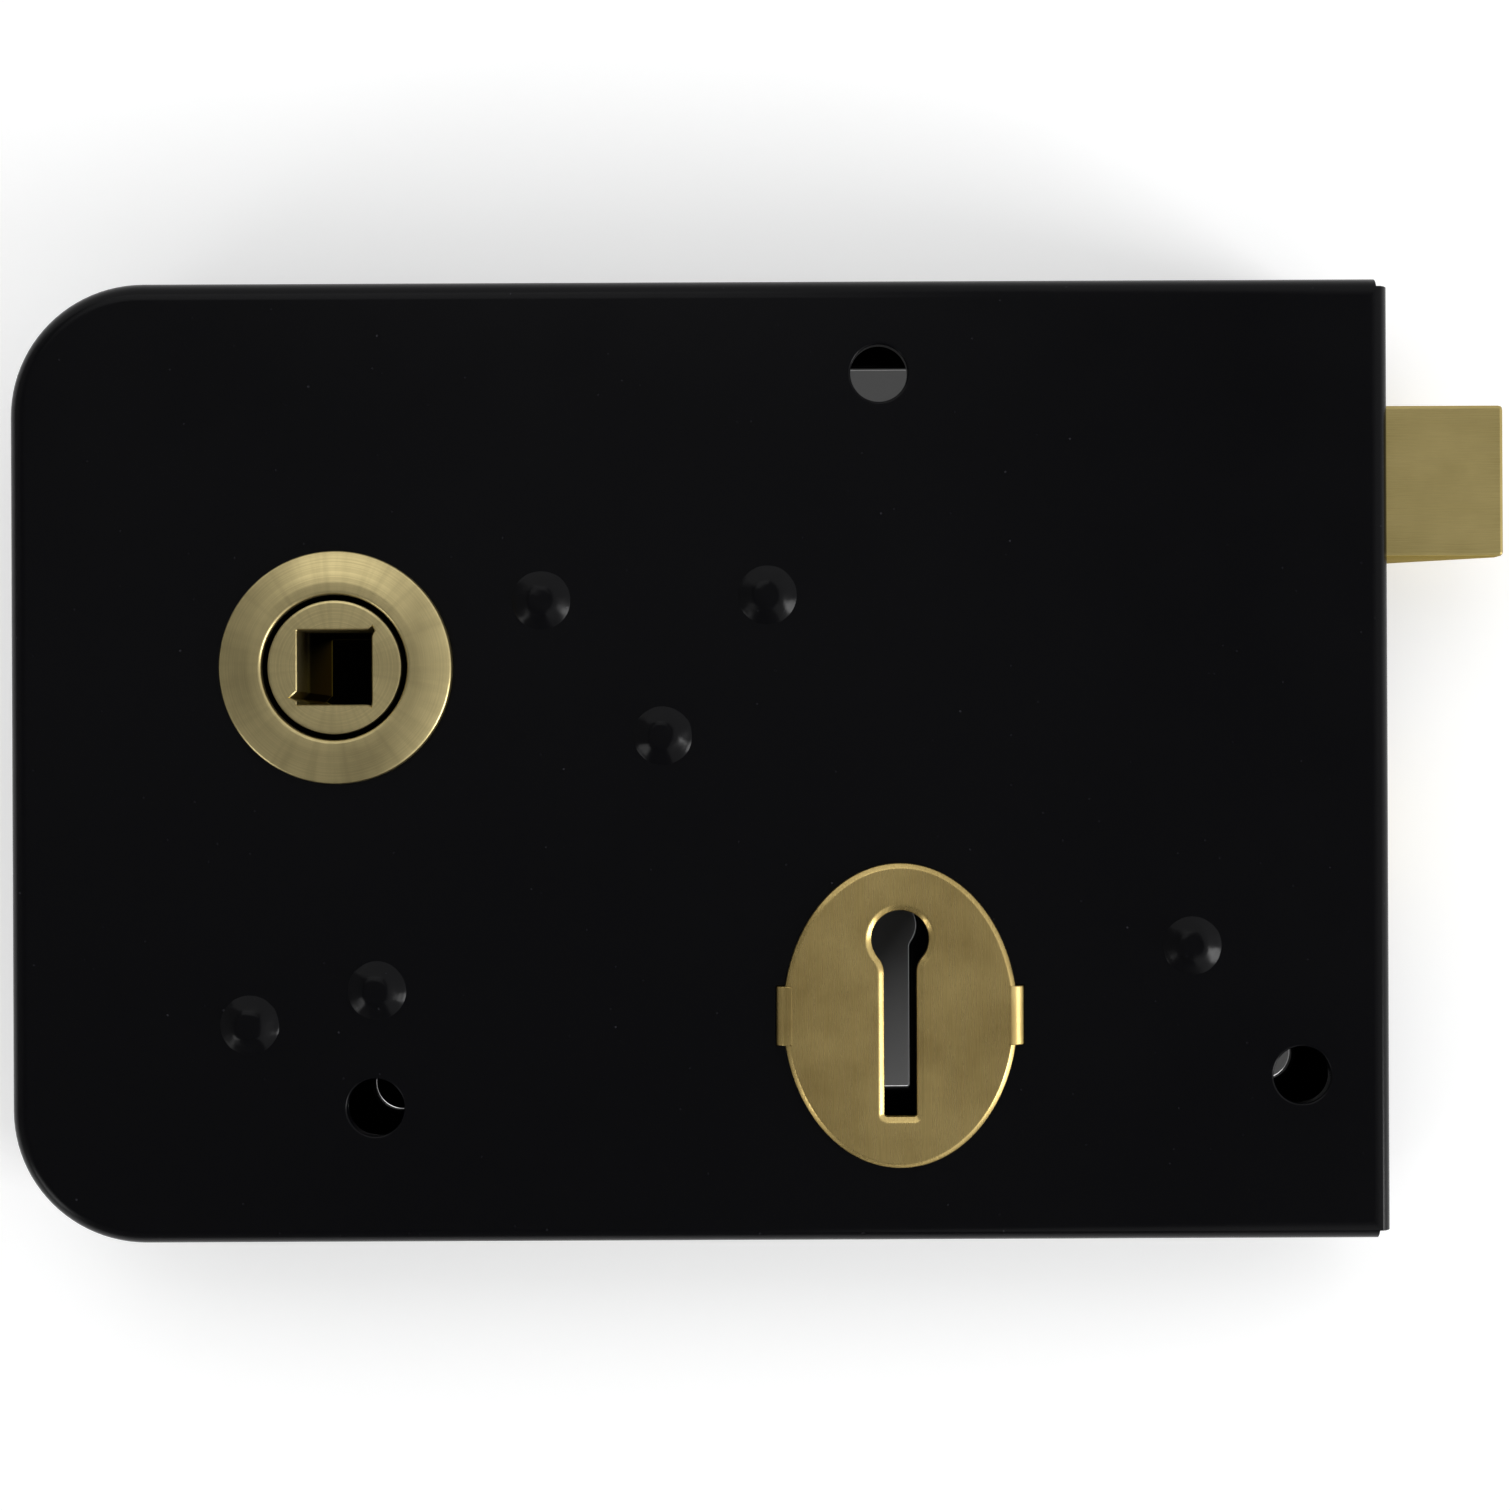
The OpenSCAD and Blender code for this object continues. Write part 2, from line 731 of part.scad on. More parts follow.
// One unbroken wire wound along X, closed at both ends
module latch_spring() {
    sides = 6;
    rings = spring_turns * 8;
    pitch = (spring_x1 - spring_x0) / rings;
    points = [
        for (i = [0:rings], s = [0:sides - 1])
            let(a = 45 * i, b = 360 * s / sides, r = spring_r + wire_r * cos(b))
            [spring_x0 + pitch * i + wire_r * sin(b), -spring_h + r * cos(a), latch_z + r * sin(a)]
    ];
    skin = [
        for (i = [0:rings - 1], s = [0:sides - 1], half = [0, 1])
            let(t = (s + 1) % sides, a = i * sides, b = a + sides)
            half == 0 ? [a + s, b + t, b + s] : [a + s, a + t, b + t]
    ];
    first_cap = [for (s = [1:sides - 2]) [0, s + 1, s]];
    last_cap = [for (s = [1:sides - 2]) rings * sides * [1, 1, 1] + [0, s, s + 1]];
    color(spring_steel)
        polyhedron(points, concat(skin, first_cap, last_cap));
}

module dead_bolt_head() {
    color(brass)
        difference() {
            layer(bolt_h0, bolt_h1)
                rect(dead_x0, dead_z0, dead_x1, dead_z1);
            layer(dead_tail_h0, dead_tail_h1)
                rect(dead_x0 - eps, dead_z0 - eps, dead_x0 + dead_slot_l, dead_z1 + eps);
            for (at = dead_rivets)
                bar(at, rivet_r + run_gap, bolt_h0 - eps, bolt_h1 + eps);
        }
}

module dead_bolt_tail() {
    key_clear = key[0] + sweep_r + 1;
    inner_end = dead_x0 - 0.5;
    color(zinc)
        layer(dead_tail_h0, dead_tail_h1)
            difference() {
                union() {
                    rect(dead_left, guide_2[1] - guide_r - wall, talon_x0, dead_top);
                    rect(talon_x0 - wall, talon_z, inner_end, dead_top);
                    rect(key_clear, dead_z0 + 0.5, dead_x0 + dead_slot_l, dead_z1 - 0.5);
                }
                rect(talon_x0, talon_z - eps, talon_x1, talon_top);
                track(guide_2 - [travel, 0], guide_2, guide_r);
                translate(stump)
                    circle(stump_r + run_gap);
                for (at = dead_rivets)
                    translate(at)
                        circle(rivet_r + run_gap);
            }
}

module dead_bolt_rivets() {
    color(zinc)
        for (at = dead_rivets)
            bar(at, rivet_r, bolt_h0, bolt_h1);
}

module dead_bolt_stump() {
    color(zinc)
        bar(stump, stump_r, (sheet_t + lever_b_h0) / 2, dead_tail_h1);
}

// Where a point of the dead bolt lies, seen from a lever that is lifted by an angle
function seen_from_lever(p, lift) =
    let(d = p - lever_post_at)
    lever_post_at + [d[0] * cos(lift) + d[1] * sin(lift), d[1] * cos(lift) - d[0] * sin(lift)];

module lever(h0, h1) {
    thrown = stump + [travel, 0];
    lifted = seen_from_lever(thrown, lever_lift);
    along = (lifted - stump) * window_r / norm(lifted - stump);
    back = (thrown - lifted) * window_r / norm(thrown - lifted);
    color(zinc)
        layer(h0, h1)
            difference() {
                union() {
                    translate(lever_post_at)
                        circle(lever_boss_r);
                    strip(lever_post_at, arm_end, lever_arm_r);
                    rect(lever_x0, lever_z0, lever_x1, lever_z1);
                }
                translate(lever_post_at)
                    circle(post_r + run_gap);
                translate(key)
                    circle(belly_r);
                strip(stump - along, lifted + along, window_r);
                strip(lifted, thrown + back, window_r);
                strip(leaf_root, leaf_tip, leaf_r + run_gap);
            }
}

module front_lever() {
    lever(lever_a_h0, lever_a_h1);
}

module rear_lever() {
    lever(lever_b_h0, lever_b_h1);
}

module lever_leaf(h0, h1) {
    color(spring_steel)
        layer(h0, h1)
            strip(leaf_root, leaf_tip, leaf_r);
}

module front_lever_spring() {
    lever_leaf(lever_a_h0, lever_a_h1);
}

module rear_lever_spring() {
    lever_leaf(lever_b_h0, lever_b_h1);
}

case_shell();
cover_plate();
cover_pillars();
cover_screws();
guide_studs();
lever_post();
lever_spacers();
spindle_bush();
key_escutcheon();
spring_stop();
follower();
latch_head();
latch_tail();
latch_drive_pins();
latch_rivets();
latch_spring_rod();
latch_spring();
dead_bolt_head();
dead_bolt_tail();
dead_bolt_rivets();
dead_bolt_stump();
front_lever();
rear_lever();
front_lever_spring();
rear_lever_spring();
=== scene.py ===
"""Looks of a rim box lock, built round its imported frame.

Lengths are millimetres until they reach a mesh. The face looks along -Y, and a height h is measured out from
the door plane, so that y = -h.
"""

import logging
import math
from collections import defaultdict
from collections.abc import Callable, Sequence
from dataclasses import dataclass
from enum import Enum

import bmesh
import bpy
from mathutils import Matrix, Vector


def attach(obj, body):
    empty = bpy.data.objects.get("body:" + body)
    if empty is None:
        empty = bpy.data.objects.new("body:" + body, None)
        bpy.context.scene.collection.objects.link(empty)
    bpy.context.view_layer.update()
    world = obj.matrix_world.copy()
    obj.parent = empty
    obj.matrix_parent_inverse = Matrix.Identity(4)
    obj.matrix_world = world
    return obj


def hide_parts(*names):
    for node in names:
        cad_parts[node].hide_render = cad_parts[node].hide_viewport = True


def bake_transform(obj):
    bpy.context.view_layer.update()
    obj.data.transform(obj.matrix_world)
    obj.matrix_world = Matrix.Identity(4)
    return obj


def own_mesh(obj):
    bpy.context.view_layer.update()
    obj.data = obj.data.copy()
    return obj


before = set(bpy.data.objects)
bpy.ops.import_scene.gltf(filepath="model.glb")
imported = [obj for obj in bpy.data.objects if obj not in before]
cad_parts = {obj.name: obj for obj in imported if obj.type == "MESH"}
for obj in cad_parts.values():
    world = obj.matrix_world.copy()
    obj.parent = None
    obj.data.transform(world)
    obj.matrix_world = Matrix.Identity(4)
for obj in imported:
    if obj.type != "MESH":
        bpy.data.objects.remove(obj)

LOG = logging.getLogger("rim_lock")
MM = 0.001

Flat = tuple[float, float]
Point = tuple[float, float, float]
Colour = tuple[float, float, float, float]
Place = Callable[[float, float, float], Vector]
Cut = tuple[list[Flat], list[Flat]]
Ring = list[bmesh.types.BMVert]
Piece = bpy.types.Object
Material = bpy.types.Material
Tree = bpy.types.NodeTree
Node = bpy.types.Node
Socket = bpy.types.NodeSocket

MATH, VECTOR, RANGE = "ShaderNodeMath", "ShaderNodeVectorMath", "ShaderNodeMapRange"
MIX, NOISE = "ShaderNodeMix", "ShaderNodeTexNoise"


# Places on the face, as (x, z), and heights from the door, in millimetres

CASE_W, CASE_H, CASE_D = 150.0, 104.5, 22.0
SHEET = 1.6
CORNER_R = 14.5
BEND_R = 2.0
NOTCH = (1.4, 1.0)
SPINDLE: Flat = (-39.3, 10.3)
SPINDLE_RIM = 12.6
KEY: Flat = (21.6, -19.3)
TOP_FIX: Flat = (19.6, 42.0)
RIGHT_FIX: Flat = (65.2, -34.3)
LEFT_FIX: Flat = (-35.3, -37.4)
FIX_R = 3.1
PILLARS: tuple[Flat, ...] = ((7.4, 18.0), (53.3, -20.2), (-48.9, -28.4))
POSTS: tuple[Flat, ...] = PILLARS + ((-17.1, 17.5), (-4.0, 2.8), (-35.1, -24.7))
BOLT_H0, BOLT_H1 = 4.3, 17.8
LATCH_Z: Flat = (22.2, 38.8)
DEAD_Z: Flat = (-16.5, -0.5)
TAIL = 2.5
SLIDE_GAP = 0.3
LEAD = 0.12


def on_face(x: float, z: float, h: float) -> Vector:
    """A point from its place on the face and its height above the door."""
    return Vector((x, -h, z)) * MM


def on_forend(z: float, h: float, x: float) -> Vector:
    """A point from its place on the forend and its distance along the lock."""
    return Vector((x, -h, z)) * MM


def linear(hex_colour: str) -> Colour:
    """Turns an sRGB colour into the linear one that shaders take.

    Args:
        hex_colour: six hex digits, with or without a leading #.

    Returns:
        Red, green, blue and an alpha of 1.
    """
    text = hex_colour.lstrip("#")
    values = [int(text[i : i + 2], 16) / 255 for i in (0, 2, 4)]
    r, g, b = (v / 12.92 if v <= 0.04045 else ((v + 0.055) / 1.055) ** 2.4 for v in values)
    return r, g, b, 1.0


def per_metre(width_mm: float) -> float:
    """How many marks of this width lie along a metre."""
    return 1.0 / (width_mm * MM)


# Flat outlines, all anticlockwise


def circle(at: Flat, r: float, n: int = 72) -> list[Flat]:
    """A circle's points."""
    angles = [math.tau * i / n for i in range(n)]
    return [(at[0] + r * math.cos(a), at[1] + r * math.sin(a)) for a in angles]


def arc(at: Flat, r: float, a0: float, a1: float, n: int = 5) -> list[Flat]:
    """Points along an arc, both ends included.

    Args:
        at: the arc's centre.
        r: its radius.
        a0: the angle of its first point, in degrees.
        a1: the angle of its last point, in degrees.
        n: the number of steps.

    Returns:
        n + 1 points.
    """
    angles = [math.radians(a0 + (a1 - a0) * i / n) for i in range(n + 1)]
    return [(at[0] + r * math.cos(a), at[1] + r * math.sin(a)) for a in angles]


def round_box(x0: float, z0: float, x1: float, z1: float, radii: Sequence[float], n: int = 12) -> list[Flat]:
    """A rectangle whose corners are rounded one by one.

    Args:
        x0: left side.
        z0: lower side.
        x1: right side.
        z1: upper side.
        radii: the corners' radii, from the lower left one anticlockwise. 0 leaves a corner sharp.
        n: steps in each rounded corner.

    Returns:
        The outline's points.
    """
    points: list[Flat] = []
    corners = ((x0, z0, 1, 1, 180), (x1, z0, -1, 1, 270), (x1, z1, -1, -1, 0), (x0, z1, 1, -1, 90))
    for (x, z, sx, sz, a), r in zip(corners, radii):
        points += arc((x + sx * r, z + sz * r), r, a, a + 90, n) if r else [(x, z)]
    return points


def keyhole(r: float, slot_w: float, reach: float, end_r: float = 0.3, neck_r: float = 1.0) -> list[Flat]:
    """The keyhole's outline round the key's axis.

    Args:
        r: radius of the round end.
        slot_w: width of the slot.
        reach: how far the slot goes down from the axis.
        end_r: radius of the slot's two lower corners.
        neck_r: radius where the slot runs into the round end.

    Returns:
        The outline's points.
    """
    x, z = KEY
    half = slot_w / 2
    foot = z - reach + end_r
    across = half + neck_r
    down = math.sqrt((r + neck_r) ** 2 - across**2)
    lean = math.degrees(math.atan2(down, across))
    return (
        arc((x - half + end_r, foot), end_r, 180, 270, 4)
        + arc((x + half - end_r, foot), end_r, 270, 360, 4)
        + arc((x + across, z - down), neck_r, 180, 180 - lean, 6)
        + arc(KEY, r, -lean, 180 + lean, 48)[1:-1]
        + arc((x - across, z - down), neck_r, lean, 0, 6)
    )


def mitres(points: Sequence[Flat]) -> list[Flat]:
    """Finds the step at each point that moves every side of an outline out by one.

    Args:
        points: the outline.

    Returns:
        A step for each point.
    """
    out: list[Flat] = []
    count = len(points)
    for i in range(count):
        (x0, z0), (x1, z1), (x2, z2) = points[i - 1], points[i], points[(i + 1) % count]
        a = Vector((z1 - z0, x0 - x1)).normalized()
        b = Vector((z2 - z1, x1 - x2)).normalized()
        step = (a + b) / max(1.0 + a.dot(b), 0.2)
        out.append((step.x, step.y))
    return out


def led(section: Sequence[Flat]) -> list[Flat]:
    """An edge's section with a flat step into the metal at both ends, so that its neighbours shade flat."""
    (first, h0), (last, h1) = section[0], section[-1]
    return [(first - LEAD, h0), *section, (last - LEAD, h1)]


def put(name: str, data: bpy.types.ID) -> Piece:
    """Puts new data into the scene.

    Args:
        name: the object's name.
        data: its mesh, light or camera.

    Returns:
        The object.
    """
    obj = bpy.data.objects.new(name, data)
    bpy.context.scene.collection.objects.link(obj)
    return obj


class MeshBuilder:
    """Collects the rings, strips and caps of one closed piece."""

    bevel_steps = 3
    bevel_angle = 30.0

    def __init__(self) -> None:
        """Starts an empty piece."""
        self.bm = bmesh.new()

    def ring(self, points: Sequence[Vector]) -> Ring:
        """Adds a ring of vertices."""
        return [self.bm.verts.new(p) for p in points]

    def strips(self, rings: Sequence[Ring], skip: Sequence[tuple[int, int]] = ()) -> None:
        """Joins closed rings, one to the next, with quads.

        Args:
            rings: rings of the same length, in order.
            skip: (ring, side) pairs that are left open.
        """
        for k, (a, b) in enumerate(zip(rings, rings[1:])):
            for i in range(len(a)):
                j = (i + 1) % len(a)
                if (k, i) not in skip:
                    self.bm.faces.new((a[i], a[j], b[j], b[i]))

    def cap(self, *rings: Ring) -> None:
        """Fills the flat region between rings.

        Args:
            *rings: the outer ring, and then those of its holes.
        """
        edges = []
        for ring in rings:
            for a, b in zip(ring, [*ring[1:], ring[0]]):
                edges.append(self.bm.edges.get((a, b)) or self.bm.edges.new((a, b)))
        bmesh.ops.triangle_fill(self.bm, use_beauty=True, edges=edges)

    def swept(
        self, outline: Sequence[Flat], section: Sequence[Flat], place: Place, hole: bool = False
    ) -> list[Ring]:
        """Adds one ring for each point of an edge's section.

        Args:
            outline: the edge's line, anticlockwise.
            section: (step out of the metal, height) pairs.
            place: puts (across, up, height) into space.
            hole: True where the metal lies outside the outline.

        Returns:
            The rings, not yet joined.
        """
        way = -1.0 if hole else 1.0
        sides = list(zip(outline, mitres(outline)))
        return [
            self.ring([place(x + way * out * u, z + way * out * v, h) for (x, z), (u, v) in sides])
            for out, h in section
        ]

    def plate(
        self, outline: Sequence[Flat], section: Sequence[Flat],
        holes: Sequence[Cut] = (), skip: Sequence[tuple[int, int]] = ()
    ) -> list[Ring]:
        """Adds a flat plate that lies along the face.

        Args:
            outline: its outer line.
            section: the section of its outer edge, from the front round to the back.
            holes: each hole's line and the section of its edge.
            skip: (ring, side) pairs of the outer edge that are left open; ring 0 is the lead-in on the front.

        Returns:
            The outer edge's rings.
        """
        rings = self.swept(outline, led(section), on_face)
        self.strips(rings, skip)
        cuts = [self.swept(line, led(edge), on_face, hole=True) for line, edge in holes]
        for cut in cuts:
            self.strips(cut)
        self.cap(rings[0], *[cut[0] for cut in cuts])
        self.cap(rings[-1], *[cut[-1] for cut in cuts])
        return rings

    def turned(self, at: Flat, section: Sequence[Flat], n: int = 128) -> None:
        """Adds a turned solid.

        Args:
            at: where its axis meets the face.
            section: its closed section, as (radius, height) pairs. A radius of 0 closes an end.
            n: steps round it.
        """
        rings = []
        for r, h in section:
            if r > 0:
                rings.append(self.ring([on_face(x, z, h) for x, z in circle(at, r, n)]))
            else:
                rings.append([self.bm.verts.new(on_face(at[0], at[1], h))])
        for a, b in zip(rings, [*rings[1:], rings[0]]):
            if len(a) == len(b) > 1:
                self.strips((a, b))
            elif len(a) != len(b):
                centre, rim = (a[0], b) if len(a) == 1 else (b[0], a)
                for i in range(len(rim)):
                    self.bm.faces.new((centre, rim[i], rim[(i + 1) % len(rim)]))

    def prism(self, section: Sequence[Flat], z0: float, z1: float) -> None:
        """Adds a bar of constant section.

        Args:
            section: (x, height) pairs.
            z0: one end.
            z1: the other end.
        """
        lower = self.ring([on_face(x, z0, h) for x, h in section])
        upper = self.ring([on_face(x, z1, h) for x, h in section])
        self.strips((lower, upper))
        self.bm.faces.new(lower)
        self.bm.faces.new(upper)

    def done(self, name: str, bevel: float = 0.0, cutter: Piece | None = None) -> Piece:
        """Closes the piece and gives it smooth, outward normals.

        Args:
            name: the piece's name.
            bevel: width of the bevel on its sharp edges, in millimetres.
            cutter: a mesh that is cut away, and then deleted.

        Returns:
            The piece, at the origin.
        """
        bmesh.ops.recalc_face_normals(self.bm, faces=self.bm.faces)
        mesh = bpy.data.meshes.new(name)
        self.bm.to_mesh(mesh)
        self.bm.free()
        obj = put(name, mesh)
        if cutter:
            cut = obj.modifiers.new("cut", "BOOLEAN")
            cut.object, cut.solver = cutter, "EXACT"
            bake(obj)
            bpy.data.objects.remove(cutter)
        if bevel:
            rounding = obj.modifiers.new("edges", "BEVEL")
            rounding.width, rounding.segments = bevel * MM, self.bevel_steps
            rounding.limit_method, rounding.angle_limit = "ANGLE", math.radians(self.bevel_angle)
            bake(obj)
        smooth(obj.data)
        return obj


def smooth(mesh: bpy.types.Mesh, limit: float = 40.0) -> None:
    """Gives each corner the mean normal, by area, of the faces there that lean little from its own.

    Args:
        mesh: the piece's mesh.
        limit: the lean, in degrees, at which an edge is sharp.
    """
    mesh.shade_smooth()
    around: dict[int, list[tuple[Vector, float]]] = defaultdict(list)
    for face in mesh.polygons:
        for i in face.vertices:
            around[i].append((face.normal.copy(), face.area))
    near = math.cos(math.radians(limit))
    normals = []
    for face in mesh.polygons:
        for i in face.vertices:
            mean = sum((n * area for n, area in around[i] if n.dot(face.normal) > near), Vector())
            normals.append(mean.normalized())
    mesh.normals_split_custom_set(normals)


def bake(obj: Piece) -> None:
    """Turns modifiers into plain mesh.

    Args:
        obj: the object that has them.
    """
    depsgraph = bpy.context.evaluated_depsgraph_get()
    mesh = bpy.data.meshes.new_from_object(obj.evaluated_get(depsgraph), depsgraph=depsgraph)
    obj.modifiers.clear()
    obj.data = mesh
    mesh.name = obj.name


# Finishes


class Grain(Enum):
    """Which way a metal's working marks run, as the stretch of their pattern."""

    UPRIGHT = (1.0, 1.0, 0.025)
    ALONG = (0.025, 1.0, 1.0)


def feed(node: Node, inputs: dict | Sequence) -> None:
    """Sets a node's inputs.

    Args:
        node: the node.
        inputs: values, or sockets to link, by input name or number, or in order.
    """
    given = inputs if isinstance(inputs, dict) else dict(enumerate(inputs))
    for key, value in given.items():
        if isinstance(value, Socket):
            node.id_data.links.new(value, node.inputs[key])
        else:
            node.inputs[key].default_value = value


def add_node(
    tree: Tree, kind: str, inputs: dict | Sequence, output: int | str = 0, **settings: object
) -> Socket:
    """Adds a node to a tree.

    Args:
        tree: the material's, world's or geometry's nodes.
        kind: the node's type.
        inputs: values, or sockets to link, by input name or number, or in order.
        output: the name or number of the output that is wanted.
        **settings: the node's own properties.

    Returns:
        The wanted output.
    """
    node = tree.nodes.new(kind)
    for key, value in settings.items():
        setattr(node, key, value)
    feed(node, inputs)
    return node.outputs[output]


def new_material(name: str) -> tuple[Material, Tree]:
    """Starts a material.

    Args:
        name: what it is, and how it was made.

    Returns:
        The material and its nodes.
    """
    made = bpy.data.materials.new(name)
    made.use_nodes = True
    return made, made.node_tree


def band(tree: Tree, value: Socket, low: float, high: float, soft: float) -> Socket:
    """Marks where a length lies between two others.

    Args:
        tree: the nodes.
        value: the length, in metres.
        low: the lower bound, in millimetres.
        high: the upper bound, in millimetres.
        soft: how far the mark fades outside the bounds, in millimetres.

    Returns:
        1 between the bounds, fading to 0.
    """
    rise = add_node(tree, RANGE, (value, (low - soft) * MM, low * MM, 0.0, 1.0))
    fall = add_node(tree, RANGE, (value, high * MM, (high + soft) * MM, 1.0, 0.0))
    return add_node(tree, MATH, (rise, fall), operation="MINIMUM")


@dataclass(frozen=True)
class Paint:
    """Paint on sheet steel: it gives the eye a deep black with a slow sheen and a few grains of dust."""

    name: str
    colour: str
    dust: str
    roughness: Flat
    ripple_mm: float
    ripple: float
    dust_mm: float
    cloud_mm: float = 14.0
    ripple_h: float = 0.02
    gloss: float = 0.12

    def material(self) -> Material:
        """Makes the material.

        Returns:
            The material.
        """
        made, tree = new_material(self.name)
        place = add_node(tree, "ShaderNodeTexCoord", {}, "Object")
        wave, grit, cloud = [
            add_node(tree, NOISE, {"Vector": place, "Scale": per_metre(mark_mm), "Detail": detail})
            for mark_mm, detail in ((self.ripple_mm, 2.0), (self.dust_mm, 0.0), (self.cloud_mm, 2.0))
        ]
        grain = add_node(tree, RANGE, (grit, 0.85, 0.9, 0.0, 1.0))
        colours = {0: grain, 6: linear(self.colour), 7: linear(self.dust)}
        waves = {"Strength": self.ripple, "Distance": self.ripple_h * MM, "Height": wave}
        feed(tree.nodes["Principled BSDF"], {
            "Base Color": add_node(tree, MIX, colours, 2, data_type="RGBA"),
            "Roughness": add_node(tree, RANGE, (cloud, 0.3, 0.7, *self.roughness)),
            "Normal": add_node(tree, "ShaderNodeBump", waves),
            "Specular IOR Level": self.gloss,
        })
        return made


@dataclass(frozen=True)
class Metal:
    """Bare metal: it gives the eye its colour, its dulled patches and the lines that its making left."""

    name: str
    colour: str
    dull: str
    line_mm: float
    roughness: Flat
    bump: float
    grain: Grain = Grain.ALONG
    patch_mm: float = 7.0
    line_h: float = 0.01

    def lie(self, tree: Tree, place: Socket) -> Socket:
        """Object coordinates, stretched along the working marks."""
        return add_node(tree, VECTOR, (place, self.grain.value), operation="MULTIPLY")

    def soiled_and_shaded(self, tree: Tree, place: Socket, colour: Socket, rough: Socket) -> tuple[Socket, Socket]:
        """The colour and roughness with what use and painted shade have left on them, which is nothing here."""
        return colour, rough

    def material(self) -> Material:
        """Makes the material.

        Returns:
            The material.
        """
        made, tree = new_material(self.name)
        place = add_node(tree, "ShaderNodeTexCoord", {}, "Object")
        lines, patches = [
            add_node(tree, NOISE, {"Vector": vector, "Scale": per_metre(mark_mm), "Detail": detail})
            for vector, mark_mm, detail in (
                (self.lie(tree, place), self.line_mm, 4.0), (place, self.patch_mm, 3.0)
            )
        ]
        clouded = add_node(tree, RANGE, (patches, 0.35, 0.7, 0.0, 0.6))
        lined = add_node(tree, RANGE, (lines, 0.35, 0.7, 0.0, 0.5))
        dulled = add_node(tree, MATH, (clouded, lined), operation="ADD")
        colours = {0: dulled, 6: linear(self.colour), 7: linear(self.dull)}
        clean = add_node(tree, MIX, colours, 2, data_type="RGBA")
        even = add_node(tree, RANGE, (lines, 0.3, 0.7, *self.roughness))
        colour, rough = self.soiled_and_shaded(tree, place, clean, even)
        marks = {"Strength": self.bump, "Distance": self.line_h * MM, "Height": lines}
        feed(tree.nodes["Principled BSDF"], {
            "Base Color": colour,
            "Roughness": rough,
            "Normal": add_node(tree, "ShaderNodeBump", marks),
            "Metallic": 1.0,
            "Specular Tint": linear(self.colour),
        })
        return made


@dataclass(frozen=True)
class TurnedMetal(Metal):
    """Metal turned about the spindle: the tool's rings, streaks across them, and grease with painted shade out
    of reach.

    Grease and painted shade lie in bands of radius or depth: from, to, and how far they fade. Depths are
    negative in the lock.
    """

    # Near black for grease and painted shade deep in the bore and in the gap round the hub
    grease_shade: str = "#0b0906"
    streak_mm: float = 1.2
    streak_pull: float = 0.06
    bore_depth: Point = (-15.0, -1.2, 3.0)
    gap_r: Point = (7.15, 7.9, 0.15)
    gap_depth: Point = (-22.8, 0.0, 0.7)

    def polar(self, tree: Tree, place: Socket) -> tuple[Socket, Socket, Socket]:
        """Measures a place from the spindle's axis.

        Args:
            tree: the material's nodes.
            place: object coordinates.

        Returns:
            The radius, the angle and the depth.
        """
        out = add_node(tree, VECTOR, (place, on_face(*SPINDLE, 0.0)), operation="SUBTRACT")
        flat = add_node(tree, VECTOR, (out, (1.0, 0.0, 1.0)), operation="MULTIPLY")
        radius = add_node(tree, VECTOR, (flat,), "Value", operation="LENGTH")
        parts = add_node(tree, "ShaderNodeSeparateXYZ", (out,)).node.outputs
        angle = add_node(tree, MATH, (parts["X"], parts["Z"]), operation="ARCTAN2")
        return radius, angle, parts["Y"]

    def lie(self, tree: Tree, place: Socket) -> Socket:
        """Coordinates that only change across the tool's rings."""
        radius, _, depth = self.polar(tree, place)
        return add_node(tree, "ShaderNodeCombineXYZ", (radius, depth))

    def soiled_and_shaded(self, tree: Tree, place: Socket, colour: Socket, rough: Socket) -> tuple[Socket, Socket]:
        """Adds dull streaks across the rings, and near-black grease with painted shade deep in the bore and in
        the gap round the hub.

        Args:
            tree: the material's nodes.
            place: object coordinates.
            colour: the clean colour.
            rough: the clean roughness.

        Returns:
            The colour with its streaks, grease and painted shade, and the roughness.
        """
        radius, angle, depth = self.polar(tree, place)
        across = add_node(tree, MATH, (angle, SPINDLE_RIM * MM), operation="MULTIPLY")
        along = add_node(tree, MATH, (radius, self.streak_pull), operation="MULTIPLY")
        lie = add_node(tree, "ShaderNodeCombineXYZ", (across, along))
        marks = {"Vector": lie, "Scale": per_metre(self.streak_mm), "Detail": 3.0}
        streaks = add_node(tree, RANGE, (add_node(tree, NOISE, marks), 0.45, 0.75, 0.0, 0.5))
        streaked = add_node(tree, MIX, {0: streaks, 6: colour, 7: linear(self.dull)}, 2, data_type="RGBA")
        # Painted shade, partly grease: the bore's depths and the gap round the hub go near black, where shade
        # falls
        bore = band(tree, depth, *self.bore_depth)
        within = (band(tree, radius, *self.gap_r), band(tree, depth, *self.gap_depth))
        gap = add_node(tree, MATH, within, operation="MINIMUM")
        grease_shade_mask = add_node(tree, MATH, (bore, gap), operation="MAXIMUM")
        colours = {0: grease_shade_mask, 6: streaked, 7: linear(self.grease_shade)}
        soiled_and_shaded = add_node(tree, MIX, colours, 2, data_type="RGBA")
        return soiled_and_shaded, add_node(tree, MATH, (grease_shade_mask, rough), operation="MAXIMUM")


